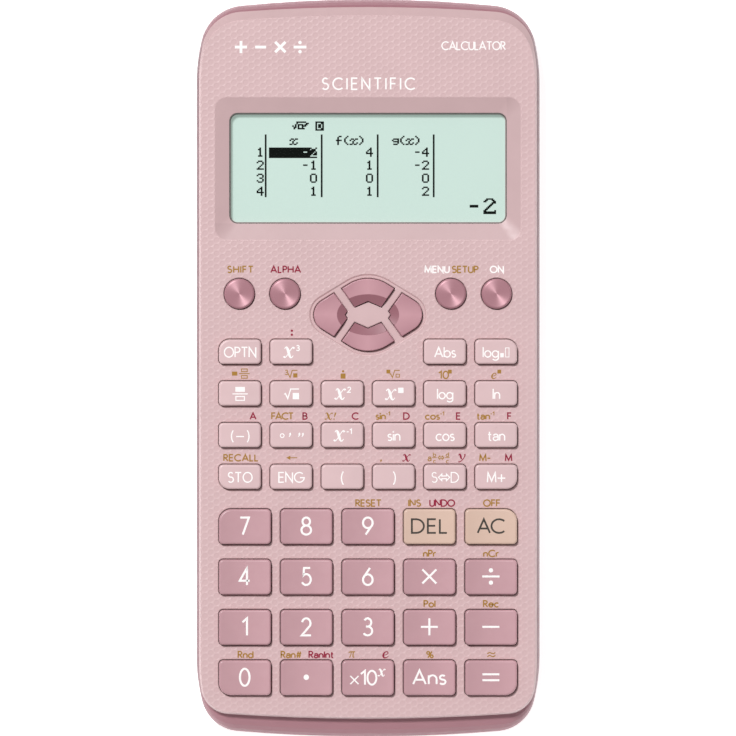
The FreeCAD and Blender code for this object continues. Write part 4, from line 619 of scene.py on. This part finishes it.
def smooth_pen(controls, steps=5):
    """A Catmull-Rom curve through the controls, weight included."""
    ends = [controls[0]] + list(controls) + [controls[-1]]
    points = []
    for index in range(1, len(ends) - 2):
        before, start, end, after = ends[index - 1:index + 3]
        for step in range(steps):
            t = step / steps
            points.append(tuple(
                0.5 * (2 * b + (c - a) * t + (2 * a - 5 * b + 4 * c - d) * t * t
                       + (3 * b - a - 3 * c + d) * t ** 3)
                for a, b, c, d in zip(before, start, end, after)))
    points.append(controls[-1])
    return points


def type_line(text, height, pen, spacing=0.20, wide=1.0):
    """Marks for a line of text from x = 0 along the baseline, and its width, in millimetres."""
    marks, x = [], 0.0
    across = height * wide
    for letter in text:
        if letter == " ":
            x += 0.40 * height
            continue
        width, strokes = GLYPHS[letter]
        for stroke in strokes:
            if stroke[0] == "dot":
                marks.append(("dot", x + stroke[1] * across, stroke[2] * height,
                              max(stroke[3] * height, pen * 0.62)))
            else:
                marks.append(("line", [(x + px * across, py * height, pen * weight)
                                       for px, py, weight in sweep(stroke)]))
        x += (width + spacing) * across
    return marks, x - spacing * across


def moved(marks, dx, dy):
    shifted = []
    for mark in marks:
        if mark[0] == "dot":
            shifted.append(("dot", mark[1] + dx, mark[2] + dy, mark[3]))
        else:
            shifted.append(("line", [(x + dx, y + dy, w) for x, y, w in mark[1]]))
    return shifted


def filled_box(x, y, width, height):
    """A solid box as one wide stroke; x and y are its lower left corner."""
    return [("line", [(x, y + height / 2, height), (x + width, y + height / 2, height)])]


def open_box(x, y, width, height, pen):
    inner = pen / 2
    left, right, bottom, top = x + inner, x + width - inner, y + inner, y + height - inner
    return [("line", [(left, bottom, pen), (right, bottom, pen), (right, top, pen), (left, top, pen),
                      (left, bottom, pen)])]


def root_sign(height, bar, pen):
    """A root sign and its bar, with its foot at x = 0."""
    return [("line", [(0, height * 0.46, pen), (height * 0.12, height * 0.54, pen),
                      (height * 0.36, height * 0.02, pen), (height * 0.66, height, pen),
                      (height * 0.66 + bar, height, pen)])]


def centred(marks, width, height=0.0):
    return moved(marks, -width / 2, -height / 2)


def words(text, height, pen, spacing=0.20, wide=1.0):
    """A line of text centred on its own middle."""
    marks, width = type_line(text, height, pen, spacing, wide)
    return centred(marks, width, height)


# ---- marks as thin solids of ink

def add_mesh(name, vertices, faces, material):
    """A new object from a mesh given in millimetres."""
    mesh = bpy.data.meshes.new(name)
    mesh.from_pydata([(x * MM, y * MM, z * MM) for x, y, z in vertices], [], faces)
    mesh.materials.append(material)
    made = bpy.data.objects.new(name, mesh)
    bpy.context.scene.collection.objects.link(made)
    return made


def prism_faces(start, sides):
    """Faces of a prism whose top ring of vertices comes first, then its bottom ring."""
    faces = [tuple(start + n for n in range(sides)),
             tuple(start + sides + n for n in reversed(range(sides)))]
    for n in range(sides):
        after = (n + 1) % sides
        faces.append((start + n, start + sides + n, start + sides + after, start + after))
    return faces


SEARCH = {}


def surface_of(node):
    """A search tree over a CAD node's faces."""
    if node not in SEARCH:
        mesh = nodes[node].data
        SEARCH[node] = BVHTree.FromPolygons([v.co.copy() for v in mesh.vertices],
                                            [tuple(p.vertices) for p in mesh.polygons])
    return SEARCH[node]


def surface_height(node, x, y, fallback):
    hit = surface_of(node).ray_cast(Vector((x, y, 0.05)), Vector((0, 0, -1)))[0]
    return fallback if hit is None else hit.z


def ribbon_sides(points, closed):
    """Left and right edges of a stroke, with mitred corners."""
    count = len(points)
    left, right = [], []
    for index, (x, y, width) in enumerate(points):
        here = Vector((x, y))
        before = points[index - 1] if index or closed else None
        after = points[(index + 1) % count] if index < count - 1 or closed else None
        directions = []
        if before is not None:
            directions.append((here - Vector(before[:2])).normalized())
        if after is not None:
            directions.append((Vector(after[:2]) - here).normalized())
        normals = [Vector((-d.y, d.x)) for d in directions]
        normal = sum(normals, Vector((0, 0)))
        if normal.length < 1e-6:
            normal = normals[0].copy()
        normal.normalize()
        reach = width / 2 / max(normal.dot(normals[0]), 0.38)
        left.append(here + normal * reach)
        right.append(here - normal * reach)
    return left, right


def divided(points, longest):
    """The same stroke with no run longer than that."""
    result = [points[0]]
    for start, end in zip(points, points[1:]):
        pieces = max(1, math.ceil(math.dist(start[:2], end[:2]) / longest))
        for piece in range(1, pieces + 1):
            t = piece / pieces
            result.append(tuple(a + (b - a) * t for a, b in zip(start, end)))
    return result


class Ink:
    """Collects strokes and dots, and lays them on a CAD node as closed, very thin solids."""

    def __init__(self, name, node, ink, lift=0.012, depth=0.02):
        self.name, self.node, self.ink = name, node, ink
        self.lift, self.depth = lift, depth
        self.vertices, self.faces = [], []
        self.level = 0
        self.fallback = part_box(node)[1].z

    def height(self, point):
        z = surface_height(self.node, point.x * MM, point.y * MM, self.fallback)
        return z / MM + self.lift + 0.0012 * (self.level % 5)

    def lay(self, marks, x, y):
        """Lay marks with their origin at x, y, in millimetres."""
        for mark in moved(marks, x, y):
            self.level += 1
            if mark[0] == "dot":
                self.disc(Vector(mark[1:3]), mark[3])
            else:
                self.ribbon(mark[1])

    def ribbon(self, points):
        closed = len(points) > 3 and math.dist(points[0][:2], points[-1][:2]) < 1e-4
        points = divided(points, 0.45)
        if closed:
            points = points[:-1]
        left, right = ribbon_sides(points, closed)
        start = len(self.vertices)
        for a, b in zip(left, right):
            top_a, top_b = self.height(a), self.height(b)
            self.vertices += [(a.x, a.y, top_a), (b.x, b.y, top_b),
                              (b.x, b.y, top_b - self.depth), (a.x, a.y, top_a - self.depth)]
        count = len(points)
        for index in range(count if closed else count - 1):
            here, there = start + 4 * index, start + 4 * ((index + 1) % count)
            for side in range(4):
                other = (side + 1) % 4
                self.faces.append((here + side, here + other, there + other, there + side))
        if not closed:
            last = start + 4 * (count - 1)
            self.faces.append((start + 3, start + 2, start + 1, start))
            self.faces.append((last, last + 1, last + 2, last + 3))

    def disc(self, middle, radius, sides=24):
        start = len(self.vertices)
        ring = [middle + Vector((math.cos(a), math.sin(a))) * radius
                for a in (2 * math.pi * n / sides for n in range(sides))]
        for drop in (0.0, self.depth):
            self.vertices += [(point.x, point.y, self.height(point) - drop) for point in ring]
        self.faces += prism_faces(start, sides)

    def make(self):
        made = add_mesh(self.name, self.vertices, self.faces, self.ink)
        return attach(made, BODY_OF[self.node])


def key_middle(node):
    low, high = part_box(node)
    return (low.x + high.x) / 2 / MM, (low.y + high.y) / 2 / MM


# ---- key legends

CAP, THIN = 2.18, 0.29          # small keys, millimetres
DIGIT, BOLD = 3.80, 0.46        # number keys
SIGN, SIGN_PEN = 4.6, 0.45      # operator keys
BIG_CAP, BIG_PEN = 3.05, 0.42   # words on the big keys
ITALIC, ITALIC_PEN = 2.45, 0.27
BOX_GAP = 0.42                  # between a fraction's bar and its boxes, as a share of a box


def fraction_marks(width, height, pen, filled_top=True):
    """Box over a bar over box, centred."""
    half = width / 2
    gap = height * BOX_GAP
    upper = filled_box(-half, gap, width, height) if filled_top \
        else open_box(-half, gap, width, height, pen)
    lower = open_box(-half, -height - gap, width, height, pen)
    return upper + lower + [("line", [(-half * 1.6, 0, pen), (half * 1.6, 0, pen)])]


def italic_with(raised, raised_size=1.15, gap=0.45):
    """An italic x and something small above its shoulder."""
    marks, width = type_line("x", ITALIC, ITALIC_PEN)
    small, small_width = type_line(raised, raised_size, ITALIC_PEN * 0.85)
    return centred(marks + moved(small, width + gap, ITALIC - raised_size * 0.75),
                   width + gap + small_width, ITALIC)


SMALL_WORDS = (("options", "OPTN", 0.17), ("absolute", "Abs", 0.16), ("log", "log", 0.16),
               ("ln", "ln", 0.16), ("sin", "sin", 0.17), ("cos", "cos", 0.15), ("tan", "tan", 0.17),
               ("store", "STO", 0.19), ("engineering", "ENG", 0.21), ("memory_plus", "M+", 0.18))
SIGNS = (("multiply", "*", 1.0), ("divide", "/", 1.0), ("plus", "+", 1.03), ("minus", "-", 1.15),
         ("equals", "=", 1.03))


def legend_marks():
    """The legend of every printed key, centred on the key."""
    marks = {
        "cube": italic_with("3"),
        "square": italic_with("2"),
        "reciprocal": italic_with("~1"),
        "log_base": moved(words("log", CAP, THIN, 0.16), -1.25, 0)
        + filled_box(0.85, -1.15, 0.80, 0.95) + open_box(1.95, -1.15, 0.95, 2.2, 0.16),
        "fraction": fraction_marks(2.15, 1.10, 0.24),
        "square_root": moved(root_sign(2.2, 1.85, 0.27), -1.60, -1.1)
        + filled_box(0.30, -1.20, 1.42, 1.42),
        "power": moved(centred(type_line("x", ITALIC, ITALIC_PEN)[0], ITALIC, ITALIC), -0.75, -0.1)
        + filled_box(0.95, 0.20, 1.20, 1.20),
        "negative": words("(-)", 2.45, 0.27, 0.21),
        "degrees": degree_marks(),
        "open_bracket": words("(", 2.7, 0.28),
        "close_bracket": words(")", 2.7, 0.28),
        "convert": words("S<D", CAP, 0.24, 0.15),
        "delete": words("DEL", BIG_CAP, BIG_PEN, 0.25, 1.17),
        "all_clear": words("AC", BIG_CAP, BIG_PEN, 0.10, 1.12),
        "point": on_middle(words(".", DIGIT, BOLD)),
        "answer": words("Ans", BIG_CAP, BIG_PEN, 0.19, 1.15),
        "exponent": exponent_marks(),
    }
    for name, text, spacing in SMALL_WORDS:
        marks[name] = words(text, CAP, THIN, spacing)
    for name, sign, scale in SIGNS:
        marks[name] = on_middle(words(sign, SIGN * scale, SIGN_PEN))
    for digit in "0123456789":
        marks[digit] = words(digit, DIGIT, BOLD, 0.2, 0.88)
    return marks


def on_middle(marks):
    """Marks shifted so that their own box is centred."""
    xs, ys = [], []
    for mark in marks:
        if mark[0] == "dot":
            xs += [mark[1] - mark[3], mark[1] + mark[3]]
            ys += [mark[2] - mark[3], mark[2] + mark[3]]
        else:
            xs += [point[0] for point in mark[1]]
            ys += [point[1] for point in mark[1]]
    return moved(marks, -(min(xs) + max(xs)) / 2, -(min(ys) + max(ys)) / 2)


def degree_marks():
    """A ring, one tick and two ticks."""
    ring = [("line", [(x * 0.42 - 1.55, y * 0.42, 0.22) for x, y, _ in
                      sweep([(0, 0, 1, 1, 0, 360)])])]
    tick = [("line", smooth_pen([(0.0, 0.42, 0.50), (0.16, 0.24, 0.40), (0.10, -0.05, 0.26),
                                 (-0.12, -0.38, 0.12)]))]
    return moved(ring, -0.50, 0) + moved(tick, -0.42, 0.1) + moved(tick, 1.65, 0.1) + moved(tick, 2.45, 0.1)


def exponent_marks(ten_at=2.25, gap=0.35):
    """Times ten to an italic x."""
    times, _ = type_line("*", 2.7, 0.28)
    ten, ten_width = type_line("10", 3.1, 0.42, 0.15)
    power, power_width = type_line("x", 1.65, 0.20)
    power_at = ten_at + ten_width + gap
    return centred(moved(times, 0, -0.1) + moved(ten, ten_at, 0) + moved(power, power_at, 1.9),
                   power_at + power_width, 3.3)


# How far a legend is shifted from the middle of its key, and where the big keys begin, millimetres
SMALL_SHIFT, BIG_SHIFT = (0.06, -0.12), (-0.04, 0.14)
LAST_SMALL_ROW = -30
for name, marks in legend_marks().items():
    node = "key_" + name
    legend = Ink("legend_" + node, node, INK["grey" if name in ("delete", "all_clear") else "white"])
    x, y = key_middle(node)
    shift_x, shift_y = BIG_SHIFT if y < LAST_SMALL_ROW else SMALL_SHIFT
    legend.lay(marks, x + shift_x, y + shift_y)
    legend.make()


# ---- printing on the panel

LABEL, LABEL_PEN, LABEL_WIDE = 1.40, 0.30, 1.15


def label(text, spacing=0.20, height=LABEL, pen=LABEL_PEN):
    return words(text, height, pen, spacing, LABEL_WIDE)


def inverse(text):
    """A function name with a raised minus one."""
    marks, width = type_line(text, LABEL, LABEL_PEN, 0.19, LABEL_WIDE)
    small, small_width = type_line("~1", 0.80, 0.19, 0.12, LABEL_WIDE)
    return centred(marks + moved(small, width + 0.22, 0.85), width + 0.22 + small_width, LABEL)


def small_root(filled):
    box = filled_box(1.30, 0.05, 0.95, 0.95) if filled else open_box(1.30, 0.05, 0.95, 0.85, 0.18)
    return root_sign(1.65, 1.15, 0.20) + box


def swap_marks():
    """A mixed fraction, a double arrow and a top-heavy fraction."""
    letter = 0.92
    marks, x = type_line("a", 1.35, 0.22)
    for upper, lower in (("b", "c"), ("d", "c")):
        if upper == "d":
            arrow, arrow_width = type_line("<", 1.15, 0.17)
            marks += moved(arrow, x + 0.30, 0.15)
            x += arrow_width + 0.55
        else:
            x += 0.28
        marks += moved(centred(*type_line(upper, letter, 0.17)), x + 0.50, 0.95)
        marks += moved(centred(*type_line(lower, letter, 0.17)), x + 0.50, -0.45)
        marks.append(("line", [(x, 0.72, 0.17), (x + 1.0, 0.72, 0.17)]))
        x += 1.0
    return centred(marks, x, LABEL)


ABOVE_SMALL, ABOVE_BIG, ABOVE_ROUND = 4.24, 5.25, 5.44
# Each label is its key, its shift from the row's place above that key, and its marks
POWER_BOX = filled_box(-0.45, -0.42, 0.85, 0.85)
LABELS = [
    ("gold", ABOVE_ROUND, [
        ("shift", 0.20, 0, label("SHIFT", 0.30)),
        ("menu", 3.15, 0, label("SETUP", 0.20)),
    ]),
    ("gold", ABOVE_SMALL, [
        ("fraction", 0.98, 0.18, fraction_marks(1.48, 0.80, 0.20, False)),
        ("fraction", -1.20, 0.18, filled_box(-0.60, -0.45, 1.20, 0.90)),
        ("square_root", -0.85, -0.75, small_root(True)),
        ("square_root", -1.05, 0.45, label("3", 0.2, 1.0, 0.19)),
        ("square", 0.15, 0, filled_box(-0.55, -0.95, 1.1, 1.15) + [("dot", 0.0, 0.70, 0.26)]),
        ("power", -0.85, -0.75, small_root(False)),
        ("power", -1.15, 0.62, POWER_BOX),
        ("log", -0.30, -0.12, label("10", 0.2, 1.6)),
        ("log", 1.15, 0.62, POWER_BOX),
        ("ln", -0.45, -0.30, label("@", 0.2, 1.25, 0.17)),
        ("ln", 0.75, 0.62, POWER_BOX),
        ("degrees", -1.95, 0, label("FACT", 0.08)),
        ("reciprocal", -2.70, 0, label("x!", 0.12, 1.55, 0.18)),
        ("sin", -2.38, 0, inverse("sin")),
        ("cos", -2.25, 0, inverse("cos")),
        ("tan", -2.33, 0, inverse("tan")),
        ("store", 0.22, 0, label("RECALL", 0.24)),
        ("engineering", 0.16, 0,
         [("line", [(-1.25, 0, 0.02), (-0.35, 0, 0.95)]), ("line", [(-0.40, 0, 0.20), (1.20, 0, 0.20)])]),
        ("close_bracket", -2.90, 0, label(",", 0.2, 1.6, 0.22)),
        ("convert", -1.35, 0, swap_marks()),
        ("memory_plus", -2.45, 0, label("M~", 0.2)),
    ]),
    ("gold", ABOVE_BIG, [
        ("9", 0.10, 0, label("RESET")),
        ("delete", -3.33, 0, label("INS")),
        ("all_clear", 0.18, 0, label("OFF")),
        ("multiply", 0.0, 0, label("nPr")),
        ("divide", 0.0, 0, label("nCr")),
        ("plus", 0.0, 0, label("Pol")),
        ("minus", 0.0, 0, label("Rec")),
        ("0", 0.13, -0.1, label("Rnd")),
        ("point", -3.42, -0.1, label("Ran#")),
        ("exponent", -3.66, -0.1, label("p", 0.2, 1.35, 0.17)),
        ("answer", 0.10, -0.1, label("%")),
        ("equals", 0.07, -0.1, [
            ("line", smooth_pen([(-0.9, dy - 0.16, 0.24), (-0.45, dy + 0.12, 0.24), (0.0, dy, 0.24),
                                 (0.45, dy - 0.12, 0.24), (0.9, dy + 0.16, 0.24)]))
            for dy in (-0.33, 0.33)]),
    ]),
    ("red", ABOVE_ROUND, [
        ("alpha", 0.15, 0, label("ALPHA", 0.23)),
    ]),
    ("red", ABOVE_SMALL, [
        ("cube", 0.15, 0, on_middle(label(":", 0.2, 1.65))),
        ("negative", 2.92, 0, label("A")),
        ("degrees", 3.10, 0, label("B")),
        ("reciprocal", 2.87, 0, label("C")),
        ("sin", 2.87, 0, label("D")),
        ("cos", 3.03, 0, label("E")),
        ("tan", 3.00, 0, label("F")),
        ("close_bracket", 2.87, 0, label("x", 0.2, 1.6, 0.20)),
        ("convert", 3.75, 0.15, label("y", 0.2, 1.5, 0.20)),
        ("memory_plus", 2.80, 0, label("M")),
    ]),
    ("red", ABOVE_BIG, [
        ("delete", 2.84, 0, label("UNDO", 0.15)),
        ("point", 3.29, -0.1, label("RanInt")),
        ("exponent", 3.95, -0.1, label("@", 0.2, 1.45, 0.20)),
    ]),
    ("white", ABOVE_ROUND, [
        ("menu", -3.1, 0, label("MENU", 0.23)),
        ("on", 0.05, 0, label("ON")),
    ]),
]

prints = {ink: Ink("print_" + ink, "front_case", INK[ink]) for ink in ("gold", "red", "white")}
for ink, above, labels in LABELS:
    for name, dx, dy, marks in labels:
        x, y = key_middle("key_" + name)
        prints[ink].lay(marks, x + dx, y + (above + dy))

window_low, window_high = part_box("display_window")
header_y = window_high.y / MM
prints["white"].lay(words("SCIENTIFIC", 2.5, 0.34, 0.42), 0.1, header_y + 6.5)
prints["white"].lay(words("CALCULATOR", 1.75, 0.27, 0.14), 23.6, header_y + 15.0)
for number, sign in enumerate("+-*/"):
    prints["white"].lay(on_middle(type_line(sign, 3.4, 0.62)[0]), -28.4 + 4.4 * number, header_y + 14.7)
for sheet in prints.values():
    sheet.make()


# ---- what the display shows

DOT_FONT = {
    "0": ".###. #...# #...# #...# #...# #...# .###.",
    "1": "..#.. .##.. ..#.. ..#.. ..#.. ..#.. .###.",
    "2": ".###. #...# ....# ...#. ..#.. .#... #####",
    "3": ".###. #...# ....# ..##. ....# #...# .###.",
    "4": "...#. ..##. .#.#. #..#. ##### ...#. ...#.",
    "-": ".... .... .... ###. .... .... ....",
    "x": "...... ...... .##.## #..#.. ..#... ..#..# ##.##.",
    "f": "..##. .#... .#... ####. .#... .#... .#...",
    "g": "..... ..... .#### #...# .#### ....# .###.",
    "(": "..# .#. #.. #.. #.. .#. ..#",
    ")": "#.. .#. ..# ..# ..# .#. #..",
    "tall 2": "..#####.. .##...##. ##.....## ......### .....##.. ....##... ...##.... ..##..... .##...... "
              "##......# ######### #########",
    "tall -": "###### ######",
    "D": "###### #...## #.##.# #.##.# #.##.# #...## ######",
    "root": "...#######.. ...#......## ..#.####.##. #.#.#..###.. .##.#..#.... .#..#####...",
}
COLUMN, LINE = 0.3059, 0.2918   # dot pitch, millimetres
SPREAD = 0.05                   # how far a dark dot seems to spread
DOT_DEPTH = 0.02


class DotField:
    """Square dots on the display's glass, as flat closed tiles."""

    def __init__(self):
        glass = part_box("display_module")[1].z / MM
        self.left = window_low.x / MM + 0.90
        self.top = window_high.y / MM - 1.56
        self.z = glass + 0.012
        self.dots = set()

    def put(self, column, line):
        self.dots.add((column, line))

    def erase(self, column, line):
        self.dots.discard((column, line))

    def stamp(self, name, column, line, erase=False):
        for down, pattern in enumerate(DOT_FONT[name].split()):
            for across, mark in enumerate(pattern):
                if mark == "#":
                    (self.erase if erase else self.put)(column + across, line + down)

    def write(self, text, right, line, erase=False):
        """Text whose last letter ends before the column named right."""
        for letter in reversed(text):
            width = len(DOT_FONT[letter].split()[0])
            right -= width
            self.stamp(letter, right, line, erase)
            right -= 1

    def bar(self, left, right, top, bottom):
        for column in range(left, right):
            for line in range(top, bottom):
                self.put(column, line)

    def runs(self):
        """Dots that touch in a line, as (first column, column after the last, line)."""
        found = []
        for column, line in sorted(self.dots, key=lambda dot: (dot[1], dot[0])):
            if found and found[-1][1] == column and found[-1][2] == line:
                found[-1][1] = column + 1
            else:
                found.append([column, column + 1, line])
        return found

    def make(self, name, material):
        vertices, faces = [], []
        for first, last, line in self.runs():
            left, right = self.left + first * COLUMN - SPREAD, self.left + last * COLUMN + SPREAD
            top, bottom = self.top - line * LINE + SPREAD / 2, self.top - (line + 1) * LINE - SPREAD / 2
            faces += prism_faces(len(vertices), 4)
            for z in (self.z, self.z - DOT_DEPTH):
                vertices += [(left, bottom, z), (right, bottom, z), (right, top, z), (left, top, z)]
        made = add_mesh(name, vertices, faces, material)
        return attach(made, BODY_OF["display_module"])


def table_dots():
    """A table of x, f(x) = x squared and g(x) = 2 x, with its first value chosen."""
    field = DotField()
    field.stamp("root", 43, 1)
    field.stamp("D", 60, 1)
    first_line, pitch, width = 23, 10, 41
    for column in range(4):
        field.bar(first_line + column * width, first_line + column * width + 1, 11, 59)
    for text, column in (("x", 47), ("f(x)", 95), ("g(x)", 136)):
        field.write(text, column, 12)
    for index, number in enumerate("1234"):
        field.write(number, first_line - 1, 21 + pitch * index)
    values = (("-2", "-1", "0", "1"), ("4", "1", "0", "1"), ("-4", "-2", "0", "2"))
    for column, texts in enumerate(values):
        right = first_line + (column + 1) * width - 3
        for index, text in enumerate(texts):
            chosen = column == 0 and index == 0
            if chosen:
                field.bar(first_line + 3, right, 21, 29)
            field.write(text, right, 21 + pitch * index, erase=chosen)
    field.stamp("tall -", 173, 65)
    field.stamp("tall 2", 183, 60)
    return field


table_dots().make("display_dots", ink_material("crystal_dark", CRYSTAL_INK, 0.05))


# ---- floor, light and camera

def make_light(name, place, size, power):
    """A round light that points at the origin."""
    data = bpy.data.lights.new(name, "AREA")
    data.shape, data.size, data.energy = "DISK", size, power
    lamp = bpy.data.objects.new(name, data)
    lamp.location = place
    lamp.rotation_euler = (-Vector(place)).to_track_quat("-Z", "Y").to_euler()
    bpy.context.scene.collection.objects.link(lamp)


def make_floor():
    size = 3000.0
    graph = Graph("floor_paper")
    graph.set(Base_Color=graph.tinted((0.93, 0.93, 0.93, 1.0), 0.01, 0.05))
    graph.fix(Roughness=0.8, Specular_IOR_Level=0.1, Emission_Strength=0.75,
              Emission_Color=(1.0, 1.0, 1.0, 1.0))
    corners = [(-size, -size, 0), (size, -size, 0), (size, size, 0), (-size, size, 0)]
    floor = add_mesh("floor", corners, [(0, 1, 2, 3)], graph.material)
    floor.location.z = -0.2 * MM


def make_world(strength):
    world = bpy.data.worlds.new("studio")
    world.use_nodes = True
    background = world.node_tree.nodes["Background"]
    background.inputs["Color"].default_value = (1.0, 0.99, 0.98, 1.0)
    background.inputs["Strength"].default_value = strength
    bpy.context.scene.world = world


def make_camera():
    """Straight above the keys, from far enough for hardly any perspective."""
    lens, sensor, field, widest = 400.0, 36.0, 0.1652, 0.005
    data = bpy.data.cameras.new("camera")
    data.lens, data.sensor_width = lens, sensor
    camera = bpy.data.objects.new("camera", data)
    camera.location = (0.0, 0.0, widest + field * lens / sensor)
    bpy.context.scene.collection.objects.link(camera)
    bpy.context.scene.camera = camera


make_floor()
make_world(0.34)
make_light("key_light", (-1.24, 1.84, 4.48), 0.74, 212.0)
make_camera()
bpy.context.scene.view_settings.view_transform = "Standard"
